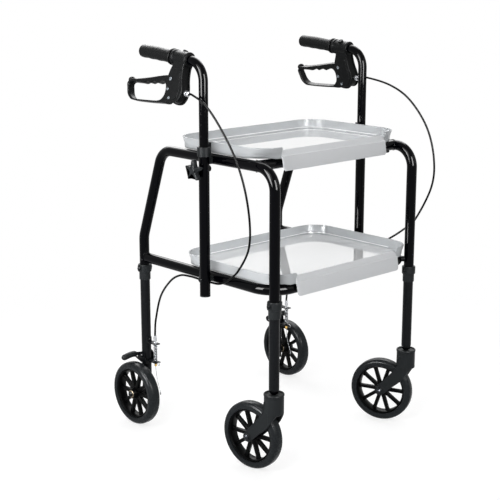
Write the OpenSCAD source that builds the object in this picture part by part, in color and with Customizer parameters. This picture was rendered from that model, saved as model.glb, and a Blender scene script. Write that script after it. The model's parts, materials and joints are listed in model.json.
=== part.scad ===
// Indoor walker with two trays: bent tube side frames on front castors and braked rear wheels.
// Millimetres, +Z up. The user stands at +Y and faces -Y, so the user's right is at -X.
// The origin is on the floor, at the middle of the walker's length and width.

/* [Frame] */
// Distance between the middles of the two side frames
frame_width = 463; // [420:1:520]
// Distance between the front legs and the rear legs
leg_spacing = 462; // [430:1:520]
// Outer diameter of the frame tubes
frame_tube_d = 24.5; // [22:0.1:26]
// Wall of the frame tubes
frame_tube_wall = 1.2; // [1:0.1:1.5]
// Outer diameter of the lower legs below the collars
leg_tube_d = 24; // [22:0.1:24.4]
// Wall of the tubes that slide into the frame tubes
inner_tube_wall = 1.5; // [1.2:0.1:2]
// Height of the upper side rails above the floor
top_rail_z = 705; // [680:1:740]
// Height of the lower rail above the floor
lower_rail_z = 428; // [410:1:450]
// Bend of the side frame above the front leg
front_bend_r = 50; // [40:1:60]
// Bend of the side frame at the rear end of the upper rail
rear_bend_r = 48; // [40:1:60]
// Bend where the slanted rear leg becomes upright
knee_bend_r = 60; // [45:1:75]
// Height of that bend above the lower rail
knee_rise = 53.5; // [45:0.5:70]
// Slant of the rear leg above the knee, from upright
rear_leg_lean = 19.3; // [12:0.1:24]
// Distance of the upper crossbar behind the front legs
crossbar_setback = 58.5; // [58:0.25:70]
// Distance of the lower rail's front run behind the front legs
rail_setback = 5.25; // [2:0.25:9]
// Bend of the lower rail's front corners
rail_bend_r = 60; // [50:1:64]

/* [Handles] */
// Distance of the handle posts outside the side frames
post_offset = 33; // [30:0.5:38]
// Distance of the handle posts behind the front legs
post_setback = 195.25; // [180:0.25:215]
// Length of the handle post below the lower rail
post_below_rail = 36.5; // [28:1:50]
// Height of the corner where the handle tube's two legs would cross
handle_corner_z = 923; // [880:1:950]
// Bend of the handle tube
handle_bend_r = 45; // [40:1:55]
// Length of the handle tube from that corner to its rear end
handle_reach = 211; // [200:1:230]
// Rise of the handle tube towards its rear end
grip_rise = 4.2; // [0:0.1:6]
// Length of the handle tube inside the post
handle_insert = 120; // [105:1:150]
// Distance between the height holes of the handle tube
height_hole_pitch = 25; // [20:1:30]
// Diameter of the height holes
height_hole_d = 6.5; // [6:0.1:7.5]
// Length of the grip
grip_len = 118; // [105:1:130]
// Diameter of the grip
grip_d = 31; // [29:0.5:34]
// Diameter of the grip's front flange
grip_flange_d = 38; // [35:0.5:42]
// Turn of the right brake on its tube, lower end outwards
right_brake_tilt = 17; // [0:0.5:22]
// Turn of the left brake on its tube, lower end outwards
left_brake_tilt = 11; // [0:0.5:22]
// Width of the brake lever
lever_w = 20; // [16:0.5:24]
// Length of the brake lever behind its pivot
lever_len = 153; // [135:1:160]
// Depth of the brake lever's loop below its pivot
lever_drop = 62; // [55:1:68]
// Diameter across the arms of the star knobs
knob_d = 50; // [40:1:54]

/* [Trays] */
// Width of the trays
tray_w = 470; // [460:1:480]
// Length of the upper tray
upper_tray_len = 306; // [290:1:330]
// Length of the lower tray
lower_tray_len = 337; // [310:1:350]
// Height of the tray's rim above its floor
tray_rim_h = 23; // [16:0.5:30]
// Thickness of the tray's floor
tray_floor_t = 3.5; // [2.5:0.1:4.5]
// Thickness of the tray's rim
tray_wall = 3; // [2.5:0.1:4]
// Rounding of the tray's corners
tray_corner_r = 60; // [55:1:64]
// Drop of the front apron below the tray's floor
apron_drop = 31; // [24:0.5:36]
// Height of the front lip above the tray's floor
lip_h = 14.5; // [10:0.5:18]

/* [Wheels] */
// Diameter of the wheels over the tyres
wheel_d = 160; // [150:1:175]
// Width of the tyres
tyre_w = 31.5; // [26:0.5:34]
// Thickness of the tyre from tread to rim
tyre_depth = 17; // [14:0.5:20]
// Spokes in each wheel
spokes = 10; // [8:1:12]
// Diameter of the wheel axles
axle_d = 8; // [7:0.5:10]
// Diameter of the castor fork's head
fork_head_d = 46; // [45:0.5:54]
// Distance of the castor axle behind its stem
trail = 61.6; // [55:0.2:66]
// Swivel of the right castor as it stands
right_swivel = 7; // [-180:0.1:180]
// Swivel of the left castor as it stands
left_swivel = 20.8; // [-180:0.1:180]
// Distance of the rear wheel's middle outside its leg
rear_wheel_offset = 34.7; // [33:0.1:40]

/* [Brakes] */
// Diameter of the brake cables
cable_d = 5; // [4:0.1:5.5]
// Diameter of the cable's inner wire
wire_d = 1.6; // [1.2:0.1:2]
// Height of the brake arm's pivot above the wheel axle
brake_pivot_rise = 94; // [92:0.5:100]
// Diameter of the brake bar that presses on the tyre
brake_bar_d = 16; // [13:0.5:17]
// Gap between the brake bar and the tyre with the brake off
brake_gap = 4; // [3.6:0.1:6]
// Distance of the cable in front of the rear leg
cable_reach = 36; // [33:0.5:42]
// Turns of the return springs
spring_turns = 10; // [6:1:14]
// Diameter of the return spring's wire
spring_wire_d = 1.4; // [1:0.1:1.5]
// Radius of the return spring to the middle of its wire
spring_r = 4.6; // [3.6:0.1:4.8]

/* [Hidden] */
right = -1;
left = 1;
sides = [right, left];
$fn = 64;

// Gaps: seat within one body, pin in its bore, tube sliding in a tube, bodies that pass each other
fit_gap = 0.1;
run_gap = 0.05;
slide_gap = 0.4;
clear_gap = 0.4;
rest_gap = 0.2;
seat_gap = 0.3;
cut_over = 1;
bend_seam = 1;
bend_step = 0.05;

// Heights and places of the frame
inner_tube_d = frame_tube_d - 2 * frame_tube_wall - 2 * slide_gap;
axle_z = wheel_d / 2;
side_x = frame_width / 2;
front_leg_y = (fork_head_d / 2 - leg_spacing - wheel_d / 2) / 2;
rear_leg_y = front_leg_y + leg_spacing;
knee_z = lower_rail_z + knee_rise;
rear_corner_y = rear_leg_y - (top_rail_z - knee_z) * tan(rear_leg_lean);
crossbar_y = front_leg_y + crossbar_setback;
rail_front_y = front_leg_y + rail_setback;
frame_hole_d = frame_tube_d + 2 * fit_gap;
handle_hole_d = inner_tube_d + 2 * fit_gap;
leg_hole_d = leg_tube_d + 2 * fit_gap;
leg_bore_d = inner_tube_d - 2 * inner_tube_wall;

// Leg collars: a ring with a cross bolt above a slimmer sleeve
collar_drop = 18;
collar_ring_d = 33;
collar_ring_h = 19;
collar_sleeve_d = 28;
collar_sleeve_h = 20;
collar_z = lower_rail_z - collar_drop;
leg_tube_end_z = collar_z - collar_ring_h - collar_sleeve_h / 2;
collar_bolt_z = collar_z - collar_ring_h / 2;
leg_overlap = 17;
leg_top_z = lower_rail_z + leg_overlap;

// Bolts and their heads
bolt_d = 6;
bolt_hole_d = bolt_d + 2 * fit_gap;
bolt_head_d = 11;
bolt_head_h = 4.5;
head_crown_share = 0.55;

// Handle posts, their clamps and knobs
post_clamp_d = 31;
tray_post_gap = 8;
post_x = max(side_x + post_offset, tray_w / 2 + tray_post_gap + post_clamp_d / 2);
post_span = post_x - side_x;
post_y = front_leg_y + post_setback;
post_bottom_z = lower_rail_z - post_below_rail;
post_clamp_low = 10;
post_clamp_h = 21;
post_clamp_z = top_rail_z + post_clamp_low;
post_top_z = post_clamp_z + post_clamp_h / 3;
saddle_w = 12;
saddle_h = 14;
saddle_drop = 9;
hook_w = 8;
hook_top = 9;
hook_t = 3;
spacer_d = 14;
plug_flange_h = 3;
plug_len = 12;
knob_drop = 19;
knob_z = top_rail_z - knob_drop;
knob_hub_d = 21;
knob_arm_w = 15;
knob_tip_w = 7;
knob_t = 14;
knob_neck_d = 15;
knob_neck_l = 10;
knob_arms = 5;
knob_stud_d = 8;
boss_d = 15;
boss_h = 6;

// Handle tube and grip
handle_bottom_z = post_top_z - handle_insert;
height_holes_down = 2;
height_holes_up = 6;
grip_start = 100;
grip_flange_t = 4;
grip_end_r = 5;
grip_end_gap = 2;
grip_bore_len = handle_reach + grip_end_gap - grip_start;

// Brake housing in the grip's own frame: Y along the tube to the rear, Z up, X across
housing_start = 44;
housing_len = 53;
housing_drop = 104;
housing_ring_d = 34;
cheek_t = 3;
lever_side_gap = 0.4;
pocket_w = lever_w + 2 * lever_side_gap;
housing_w = pocket_w + 2 * cheek_t;
lever_pivot = [32.5, -50.5];
pivot_y = housing_start + lever_pivot[0];
pivot_z = lever_pivot[1];
rivet_d = 5;
rivet_head_d = 7;
rivet_head_h = 1.2;
guide_rivet_shares = [[0.64, -0.71], [0.43, -0.89]];
clamp_screw_d = 11;
clamp_screw_h = 6.5;
clamp_screw_share = 0.45;
adjuster_d = 10;
adjuster_len = 12;
adjuster_seat = 2;
adjuster_y = 34;
adjuster_z = -74.5;
knuckle_r = 8;
knuckle_inset = 1;
knuckle_place_shares = [0.97, -0.35];
housing_shares = [
    [0.04, 0.02], [0.04, -0.2], [-0.06, -0.42], [-0.19, -0.59], [-0.25, -0.71], [-0.21, -0.85],
    [-0.06, -0.95], [0.17, -0.99], [0.43, -0.99], [0.62, -0.96], [0.74, -0.87], [0.77, -0.75],
    [0.83, -0.59], [0.85, -0.42], [0.81, -0.3], [0.74, -0.16], [0.74, 0.02]
];
pocket_shares = [[0.13, -0.3], [1.19, -0.3], [1.19, -1.19], [0.55, -1.19], [0.36, -0.94], [0.13, -0.83]];
lever_shares = [
    [-0.05, 0.106], [0, 0.15], [0.13, 0.116], [0.32, 0.015], [0.52, -0.107], [0.8, -0.258],
    [0.91, -0.29], [1, -0.46], [0.97, -0.687], [0.93, -0.892], [0.85, -1.033], [0.76, -1.064],
    [0.42, -0.996], [0.15, -0.926], [0.04, -0.904], [-0.01, -0.849], [-0.04, -0.656], [-0.05, -0.255],
    [-0.07, -0.012]
];
lever_hole_shares = [
    [0.82, -0.39], [0.72, -0.369], [0.63, -0.359], [0.55, -0.271], [0.48, -0.303], [0.4, -0.214],
    [0.31, -0.244], [0.23, -0.145], [0.16, -0.148], [0.11, -0.272], [0.09, -0.49], [0.11, -0.692],
    [0.19, -0.851], [0.42, -0.936], [0.74, -1.001], [0.83, -0.951], [0.89, -0.828], [0.93, -0.652],
    [0.95, -0.505], [0.91, -0.41]
];

// Trays
lip_len = 345;
lip_top_inset = 8;
lip_top_back = 7;
lip_t = 2.6;
lip_foot = 14;
ridge_h = 1.5;
apron_out = 6;
lip_front_gap = 1.55;
upper_lip_gap = 6.8;
tray_floor_up = frame_tube_d / 2 + rest_gap + tray_floor_t;
lip_forward = frame_tube_d / 2 + lip_t;
upper_lip_y = crossbar_y - lip_forward - upper_lip_gap;
lower_lip_y = rail_front_y - lip_forward - lip_front_gap;

// Wheels and castors
hub_d = 28;
hub_w = 34;
tyre_edge_r = 10;
rim_w = 25;
rim_t = 6;
spoke_w = 12;
spoke_root = 7;
spoke_tip = 6;
spoke_sink = 2;
spoke_start = hub_d / 2 - spoke_sink;
rim_r = wheel_d / 2 - tyre_depth;
tyre_side_gap = 3;
tyre_top_gap = 4;
fork_top_z = 195;
fork_ring_h = 5;
fork_ring_d = 48;
fork_height = fork_top_z - axle_z;
fork_slot_w = tyre_w + 2 * tyre_side_gap;
fork_shares = [
    [-0.39, 0.87], [-0.39, 0.535], [-0.24, 0.41], [0, 0.34], [0.84, -0.075], [0.97, -0.1],
    [1.1, -0.075], [1.18, 0], [1.1, 0.095], [0.38, 0.525], [0.23, 0.66], [0.2, 0.87]
];
fork_crown_share = 0.63;
stem_d = 10;
stem_depth = 32;
stem_insert = 36;
stem_nut_d = 21;
stem_nut_h = 8;
stem_play = 0.5;
front_leg_end_z = fork_top_z + stem_play + stem_nut_h;
nut_d = 14;
nut_h = 6;
rear_leg_below_axle = 16;
spacer_t = rear_wheel_offset - hub_w / 2 - leg_tube_d / 2;

// Rear brakes, placed from the leg's axis and the arm's pivot
brake_pivot_z = axle_z + brake_pivot_rise;
arm_gap = 0.6;
arm_t = 2.5;
arm_front = 46;
arm_plate_drop = 11;
arm_plate_w = 16;
arm_cheek_h = 20;
bar_back = 22;
bar_rod_d = 8;
bar_rise = sqrt(pow(wheel_d / 2 + brake_gap + brake_bar_d / 2, 2) - pow(bar_back, 2));
bar_z = axle_z + bar_rise;
bar_inner = rear_wheel_offset - tyre_w / 2;
bar_overhang = 5;
bar_outer = rear_wheel_offset + tyre_w / 2 + bar_overhang;
stop_rise = 46;
stop_ring_d = 29;
stop_ring_h = 13;
stop_plate_t = 2.5;
stop_plate_w = 15;
stop_front = 46;
stop_rivet_d = 6;
stop_rivet_h = 2;
plate_top_z = brake_pivot_z - arm_plate_drop;
stop_z = plate_top_z + stop_rise;
rear_adjuster_d = 8;
rear_adjuster_h = 16;
rear_adjuster_neck_d = 5;
cable_end_z = stop_z + stop_plate_t + rear_adjuster_h;
pinch_d = 6;
pinch_h = 9;
wire_tail_out = 13;
wire_tail_drop = 66;
wire_end_d = 3;
clip_w = 9;
clip_t = 2;
clip_back = 38;
clip_mouth = 2;

// Cable routes between the handle and the rear leg, after the first straight and before the last
right_route = [
    [-283, -92, 833], [-280, -136, 789], [-275, -179, 726], [-268, -203, 657], [-258, -208, 580],
    [-250, -195, 518], [-248, -159, 463], [-247, -124, 434], [-246, -94, 420], [-245, -64, 417],
    [-245, -24, 417], [-245, 14, 417], [-244, 50, 412], [-241, 90, 390], [-237, 134, 342], [-233, 160, 277]
];
left_route = [
    [280, -64, 856], [285, -138, 842], [290, -198, 810], [295, -250, 747], [297, -274, 672],
    [296, -270, 600], [285, -231, 514], [273, -204, 486], [261, -174, 462], [250, -132, 435],
    [246, -94, 420], [245, -64, 417], [245, -24, 417], [245, 14, 417], [244, 50, 412],
    [241, 90, 390], [237, 134, 342], [233, 160, 277]
];
clip_cable_x = 245;
clip_cable_z = 417;
cable_straight = 12;
cable_tip_gap = 0.9;
cable_sides = 8;
cable_steps = 4;
spring_sides = 6;
spring_rings = 8;

// Vectors and curves

function unit(v) = v / norm(v);
function cross2(a, b) = a[0] * b[1] - a[1] * b[0];
function scaled(shares, size) = [for (s = shares) [s[0] * size[0], s[1] * size[1]]];

// Point between b and c of a Catmull-Rom curve through a, b, c and d
function curve_point(a, b, c, d, t) =
    (2 * b + (c - a) * t + (2 * a - 5 * b + 4 * c - d) * t * t + (3 * b - a - 3 * c + d) * t * t * t) / 2;

// Closed smooth outline through the given points
function smooth_loop(p, steps) = let (n = len(p))
    [for (i = [0 : n - 1], k = [0 : steps - 1])
        curve_point(p[(i + n - 1) % n], p[i], p[(i + 1) % n], p[(i + 2) % n], k / steps)];

// Open smooth path through the given points
function smooth_path(p, steps) = let (n = len(p)) concat(
    [for (i = [0 : n - 2], k = [0 : steps - 1])
        curve_point(p[max(i - 1, 0)], p[i], p[i + 1], p[min(i + 2, n - 1)], k / steps)],
    [p[n - 1]]);

// Direction of a path at point i
function heading(p, i) = unit(p[min(i + 1, len(p) - 1)] - p[max(i - 1, 0)]);

// Round tube along a path, with the given side direction at each point
module swept_tube(path, across, d, sides_n) {
    n = len(path);
    rings = [for (i = [0 : n - 1])
        let (t = heading(path, i), a = unit(across[i] - (across[i] * t) * t), b = cross(t, a))
        for (j = [0 : sides_n - 1])
            path[i] + (cos(360 * j / sides_n) * a + sin(360 * j / sides_n) * b) * d / 2];
    walls = [for (i = [0 : n - 2], j = [0 : sides_n - 1], h = [0, 1])
        let (k = (j + 1) % sides_n, a = i * sides_n, b = a + sides_n)
        h == 0 ? [a + j, b + j, b + k] : [a + j, b + k, a + k]];
    first = [for (j = [1 : sides_n - 2]) [0, j, j + 1]];
    last_ring = (n - 1) * sides_n;
    last = [for (j = [1 : sides_n - 2]) [last_ring, last_ring + j + 1, last_ring + j]];
    polyhedron(points = rings, faces = concat(walls, first, last), convexity = 10);
}

// Tubes bent in one plane: corner points and the bend radius at each

function turn_at(p, i) =
    let (u = unit(p[i] - p[i - 1]), v = unit(p[i + 1] - p[i])) atan2(cross2(u, v), u * v);
function tangent_at(p, r, i) = (i == 0 || i == len(p) - 1) ? 0 : r[i] * abs(tan(turn_at(p, i) / 2));

module tube_section(d, wall) {
    difference() {
        circle(d = d);
        if (wall > 0) circle(d = d - 2 * wall);
    }
}

// Solid bent rod. Each straight run enters the bend by the seam, and the bend is fuller by twice the step.
module bent_rod(p, r, d, step) {
    last = len(p) - 2;
    for (i = [0 : last]) {
        u = unit(p[i + 1] - p[i]);
        head = i == 0 ? 0 : tangent_at(p, r, i) - bend_seam;
        tail = i == last ? 0 : tangent_at(p, r, i + 1) - bend_seam;
        start = p[i] + u * head;
        translate([start[0], start[1], 0]) rotate([0, 0, atan2(u[1], u[0])]) rotate([0, 90, 0])
            cylinder(d = d, h = norm(p[i + 1] - p[i]) - head - tail);
    }
    for (i = [1 : last]) {
        u = unit(p[i] - p[i - 1]);
        turn = turn_at(p, i);
        side = sign(turn);
        centre = p[i] - u * tangent_at(p, r, i) + side * r[i] * [-u[1], u[0]];
        from = atan2(u[1], u[0]) - side * 90 + min(turn, 0);
        translate([centre[0], centre[1], 0]) rotate([0, 0, from])
            rotate_extrude(angle = abs(turn)) translate([r[i], 0]) circle(d = d + 2 * step);
    }
}

module bent_tube(p, r, d, wall) {
    last = len(p) - 1;
    first_way = unit(p[0] - p[1]);
    last_way = unit(p[last] - p[last - 1]);
    long = [for (i = [0 : last])
        i == 0 ? p[0] + first_way * cut_over : i == last ? p[last] + last_way * cut_over : p[i]];
    difference() {
        bent_rod(p, r, d, bend_step);
        bent_rod(long, r, d - 2 * wall, -bend_step);
    }
}

// Turns a plane drawn in Y and Z into place at the given X
module in_side_plane(x) {
    translate([x, 0, 0]) rotate([90, 0, 90]) children();
}

module along_x(d, l) {
    rotate([0, 90, 0]) cylinder(d = d, h = l, center = true);
}

module along_y(d, l) {
    rotate([90, 0, 0]) cylinder(d = d, h = l, center = true);
}

// Domed bolt head that stands up from its seat at zero
module bolt_head(d, h) {
    cylinder(d = d, h = h / 2);
    translate([0, 0, h / 2]) cylinder(d1 = d, d2 = d * head_crown_share, h = h / 2);
}

// Bolt along X between two seats, with a head at each end
module bolt_x(l, d, head_d, head_h) {
    along_x(d, l);
    for (s = sides) translate([s * l / 2, 0, 0]) rotate([0, s * 90, 0]) bolt_head(head_d, head_h);
}

module rounded_rect(w, l, r) {
    translate([r - w / 2, 0]) square([w - 2 * r, l]);
    translate([-w / 2, r]) square([w, l - 2 * r]);
    for (x = [r - w / 2, w / 2 - r], y = [r, l - r]) translate([x, y]) circle(r = r);
}

// Frame

side_path = [
    [front_leg_y, leg_tube_end_z], [front_leg_y, top_rail_z], [rear_corner_y, top_rail_z],
    [rear_leg_y, knee_z], [rear_leg_y, leg_tube_end_z]
];
side_radii = [0, front_bend_r, rear_bend_r, knee_bend_r, 0];
rail_path = [
    [-side_x, rear_leg_y], [-side_x, rail_front_y], [side_x, rail_front_y], [side_x, rear_leg_y]
];
rail_radii = [0, rail_bend_r, rail_bend_r, 0];

module leg_bolts(side, d, l) {
    for (y = [front_leg_y, rear_leg_y]) translate([side * side_x, y, collar_bolt_z]) along_x(d, l);
}

module side_frame(side) {
    color([0.03, 0.03, 0.035]) difference() {
        in_side_plane(side * side_x) bent_tube(side_path, side_radii, frame_tube_d, frame_tube_wall);
        leg_bolts(side, bolt_hole_d, frame_tube_d + 2 * cut_over);
    }
}

module upper_crossbar() {
    screw_x = side_x - frame_tube_d;
    color([0.03, 0.03, 0.035]) difference() {
        translate([0, crossbar_y, top_rail_z]) rotate([0, 90, 0])
            linear_extrude(height = frame_width, center = true) tube_section(frame_tube_d, frame_tube_wall);
        for (s = sides) translate([s * side_x, crossbar_y, top_rail_z])
            along_y(frame_tube_d + 2 * rest_gap, 2 * frame_tube_d);
        for (s = sides) translate([s * screw_x, crossbar_y, top_rail_z - frame_tube_d])
            cylinder(d = bolt_hole_d, h = frame_tube_d);
    }
}

module lower_tray_rail() {
    color([0.03, 0.03, 0.035]) difference() {
        translate([0, 0, lower_rail_z]) bent_tube(rail_path, rail_radii, frame_tube_d, frame_tube_wall);
        for (s = sides) translate([s * side_x, rear_leg_y, lower_rail_z])
            cylinder(d = frame_hole_d, h = 2 * frame_tube_d, center = true);
        translate([0, post_y, lower_rail_z]) along_x(bolt_hole_d, frame_width + 2 * frame_tube_d);
    }
}

module handle_post(side) {
    color([0.03, 0.03, 0.035]) translate([side * post_x, post_y, 0]) difference() {
        translate([0, 0, post_bottom_z]) linear_extrude(height = post_top_z - post_bottom_z)
            tube_section(frame_tube_d, frame_tube_wall);
        translate([0, 0, lower_rail_z]) along_x(bolt_hole_d, frame_tube_d + 2 * cut_over);
        translate([side * frame_tube_d / 2, 0, knob_z]) along_x(knob_stud_d + 2 * run_gap, frame_tube_d);
    }
}

// Plastic clamp at the top of a post: a ring round both tubes, a saddle on the rail and a hook behind it
module post_clamp(side) {
    reach = post_span - frame_tube_d / 2;
    hook_x = post_clamp_d / 2 + hook_t;
    hook_z = post_clamp_z + post_clamp_h + hook_top;
    translate([side * post_x, post_y, 0]) difference() {
        union() {
            translate([0, 0, post_clamp_z]) cylinder(d = post_clamp_d, h = post_clamp_h);
            translate([-side * post_span / 2, 0, top_rail_z + saddle_h / 2 - saddle_drop])
                cube([post_span, saddle_w, saddle_h], center = true);
            rotate([90, 0, 0]) linear_extrude(height = hook_w, center = true) polygon([
                [0, post_clamp_z], [0, top_rail_z],
                [-side * reach, top_rail_z], [-side * hook_x, post_clamp_z],
                [-side * hook_x, hook_z], [-side * post_clamp_d / 2, hook_z],
                [-side * (post_clamp_d / 2 - hook_t), post_clamp_z + post_clamp_h - fit_gap]
            ]);
        }
        translate([0, 0, post_bottom_z])
            cylinder(d = frame_hole_d, h = post_top_z + fit_gap - post_bottom_z);
        translate([0, 0, post_top_z])
            cylinder(d = inner_tube_d + 2 * slide_gap, h = handle_corner_z - post_top_z);
        translate([-side * post_span, 0, top_rail_z]) along_y(frame_hole_d, 2 * post_clamp_d);
    }
}

// Spacer between a post and the lower rail, on the bolt that joins them
module post_spacer(side) {
    translate([side * post_x, post_y, lower_rail_z]) difference() {
        translate([-side * post_span / 2, 0, 0]) along_x(spacer_d, post_span);
        cylinder(d = frame_hole_d, h = 2 * spacer_d, center = true);
        translate([-side * post_span, 0, 0]) along_y(frame_hole_d, 2 * spacer_d);
        along_x(bolt_hole_d, 2 * post_span + 2 * cut_over);
    }
}

module post_clamps() {
    color([0.16, 0.16, 0.17]) for (s = sides) {
        post_clamp(s);
        post_spacer(s);
    }
}

module leg_collar() {
    difference() {
        union() {
            translate([0, 0, collar_z - collar_ring_h]) cylinder(d = collar_ring_d, h = collar_ring_h);
            translate([0, 0, collar_z - collar_ring_h - collar_sleeve_h])
                cylinder(d = collar_sleeve_d, h = collar_sleeve_h);
        }
        translate([0, 0, leg_tube_end_z - fit_gap])
            cylinder(d = frame_hole_d, h = collar_z - leg_tube_end_z + cut_over);
        cylinder(d = leg_hole_d, h = collar_z);
        translate([0, 0, collar_bolt_z]) along_x(bolt_hole_d, collar_ring_d + 2 * cut_over);
    }
}

module leg_collars() {
    color([0.16, 0.16, 0.17]) for (s = sides, y = [front_leg_y, rear_leg_y])
        translate([s * side_x, y, 0]) leg_collar();
}

// Lug between the lower rail's front corner and the front leg
module rail_lug(side) {
    corner = [side * (side_x - rail_bend_r), rail_front_y + rail_bend_r];
    leg = [side * side_x, front_leg_y];
    way = leg - corner;
    translate([corner[0], corner[1], lower_rail_z]) difference() {
        rotate([0, 0, atan2(way[1], way[0])]) rotate([0, 90, 0])
            translate([0, 0, rail_bend_r]) cylinder(d = spacer_d, h = norm(way) - rail_bend_r);
        rotate_extrude() translate([rail_bend_r, 0]) circle(d = frame_hole_d);
        translate([way[0], way[1], 0]) cylinder(d = frame_hole_d, h = 2 * spacer_d, center = true);
    }
}

module frame_bolts() {
    screw_x = side_x - frame_tube_d;
    post_bolt_l = post_span + frame_tube_d + 2 * fit_gap;
    pivot_l = leg_tube_d + 2 * (arm_gap + arm_t + clear_gap);
    color([0.1, 0.1, 0.11]) for (s = sides) {
        for (y = [front_leg_y, rear_leg_y]) translate([s * side_x, y, collar_bolt_z])
            bolt_x(collar_ring_d + 2 * fit_gap, bolt_d, bolt_head_d, bolt_head_h);
        translate([s * (side_x + post_span / 2), post_y, lower_rail_z])
            bolt_x(post_bolt_l, bolt_d, bolt_head_d, bolt_head_h);
        translate([s * side_x, rear_leg_y, brake_pivot_z])
            bolt_x(pivot_l, bolt_d, bolt_head_d, bolt_head_h);
        translate([s * (post_x - frame_tube_d / 2 - fit_gap), post_y, knob_z]) rotate([0, -s * 90, 0])
            bolt_head(boss_d, boss_h);
        translate([s * screw_x, crossbar_y, top_rail_z - frame_tube_d / 2 - fit_gap]) {
            cylinder(d = bolt_d, h = frame_tube_d / 2);
            rotate([180, 0, 0]) bolt_head(bolt_head_d, bolt_head_h);
        }
        rail_lug(s);
    }
}

// Plastic plug in the lower end of a tube
module tube_plug(d, bore) {
    translate([0, 0, -plug_flange_h - fit_gap]) cylinder(d = d, h = plug_flange_h);
    translate([0, 0, -plug_flange_h - fit_gap])
        cylinder(d = bore - 2 * fit_gap, h = plug_flange_h + plug_len);
}

module tube_plugs() {
    color([0.16, 0.16, 0.17]) for (s = sides) {
        translate([s * post_x, post_y, post_bottom_z])
            tube_plug(frame_tube_d, frame_tube_d - 2 * frame_tube_wall);
        translate([s * side_x, rear_leg_y, axle_z - rear_leg_below_axle])
            tube_plug(leg_tube_d, leg_bore_d);
    }
}

// Clip round the lower rail, open under the tray, with an eye for the cable
module cable_clip() {
    eye = [clip_cable_x - side_x, clip_cable_z - lower_rail_z];
    rotate([90, 0, 0]) linear_extrude(height = clip_w, center = true) difference() {
        union() {
            circle(d = frame_hole_d + 2 * clip_t);
            translate(eye) circle(d = cable_d + 2 * fit_gap + 2 * clip_t);
        }
        circle(d = frame_hole_d);
        translate(eye) circle(d = cable_d + 2 * fit_gap);
        translate([-frame_tube_d, frame_tube_d / 2 - clip_mouth]) square([2 * frame_tube_d, frame_tube_d]);
    }
}

module cable_clips() {
    color([0.16, 0.16, 0.17]) {
        translate([side_x, post_y + clip_back, lower_rail_z]) cable_clip();
        mirror([1, 0, 0]) translate([side_x, post_y + clip_back, lower_rail_z]) cable_clip();
    }
}

// Brake cables

function brake_tilt(side) = side == right ? right_brake_tilt : left_brake_tilt;

// Place of a point of the grip's frame
function grip_point(side, p) =
    let (t = -side * brake_tilt(side), x = p[0] * cos(t) + p[2] * sin(t), z = p[2] * cos(t) - p[0] * sin(t))
    [side * post_x + x, post_y + p[1] * cos(grip_rise) - z * sin(grip_rise),
        handle_corner_z + p[1] * sin(grip_rise) + z * cos(grip_rise)];

function cable_path(side) =
    let (tip = adjuster_y - adjuster_len - cable_tip_gap,
        end = [side * side_x, rear_leg_y - cable_reach, cable_end_z + seat_gap])
    smooth_path(concat(
        [grip_point(side, [0, tip, adjuster_z]), grip_point(side, [0, tip - cable_straight, adjuster_z])],
        side == right ? right_route : left_route,
        [end + [0, 0, cable_straight], end]), cable_steps);

module brake_cable(side) {
    path = cable_path(side);
    color([0.02, 0.02, 0.02]) swept_tube(path, [for (p = path) [1, 0, 0]], cable_d, cable_sides);
}

// Trays

module tray(length) {
    apron = [
        [0, ridge_h], [-apron_out, -apron_drop], [lip_t - apron_out, -apron_drop], [lip_t, -tray_floor_t],
        [lip_foot, -tray_floor_t], [lip_foot, 0], [lip_top_back, 0]
    ];
    lip = [
        [0, ridge_h], [lip_t, -tray_floor_t], [lip_foot, -tray_floor_t], [lip_foot, 0],
        [lip_top_back + lip_t, lip_h], [lip_top_back, lip_h]
    ];
    color([0.62, 0.64, 0.65]) union() {
        translate([0, 0, -tray_floor_t]) linear_extrude(height = tray_floor_t)
            rounded_rect(tray_w, length, tray_corner_r);
        difference() {
            linear_extrude(height = tray_rim_h) rounded_rect(tray_w, length, tray_corner_r);
            translate([0, tray_wall, -cut_over]) linear_extrude(height = tray_rim_h + 2 * cut_over)
                rounded_rect(tray_w - 2 * tray_wall, length - 2 * tray_wall, tray_corner_r - tray_wall);
            translate([tray_corner_r - tray_w / 2, -cut_over, -cut_over])
                cube([tray_w - 2 * tray_corner_r, tray_corner_r, tray_rim_h + 2 * cut_over]);
        }
        rotate([90, 0, 90]) linear_extrude(height = lip_len, center = true) polygon(apron);
        rotate([90, 0, 90])
            linear_extrude(height = lip_len - 2 * lip_top_inset, center = true) polygon(lip);
    }
}

module upper_tray() {
    translate([0, upper_lip_y, top_rail_z + tray_floor_up]) tray(upper_tray_len);
}

module lower_tray() {
    translate([0, lower_lip_y, lower_rail_z + tray_floor_up]) tray(lower_tray_len);
}

// Handles

handle_path = [
    [post_y, handle_bottom_z], [post_y, handle_corner_z],
    [post_y + handle_reach * cos(grip_rise), handle_corner_z + handle_reach * sin(grip_rise)]
];

module handle_tube(side) {
    color([0.03, 0.03, 0.035]) difference() {
        in_side_plane(side * post_x)
            bent_tube(handle_path, [0, handle_bend_r, 0], inner_tube_d, inner_tube_wall);
        for (k = [-height_holes_down : height_holes_up])
            translate([side * post_x, post_y, knob_z + k * height_hole_pitch])
                along_x(height_hole_d, inner_tube_d + 2 * cut_over);
    }
}

// Frame of a grip: origin at the handle tube's corner, Y along the tube, lower end tilted outwards
module at_grip(side, tilt) {
    translate([side * post_x, post_y, handle_corner_z]) rotate([grip_rise, 0, 0])
        rotate([0, -side * tilt, 0]) children();
}

module grip(side) {
    color([0.05, 0.05, 0.055])
    at_grip(side, 0) rotate([-90, 0, 0]) translate([0, 0, grip_start]) difference() {
        union() {
            cylinder(d = grip_flange_d, h = grip_flange_t);
            cylinder(d = grip_d, h = grip_len - grip_end_r);
            translate([0, 0, grip_len - grip_end_r])
                cylinder(d1 = grip_d, d2 = grip_d - 2 * grip_end_r, h = grip_end_r);
        }
        translate([0, 0, -cut_over]) cylinder(d = handle_hole_d, h = grip_bore_len + cut_over);
    }
}

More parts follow.
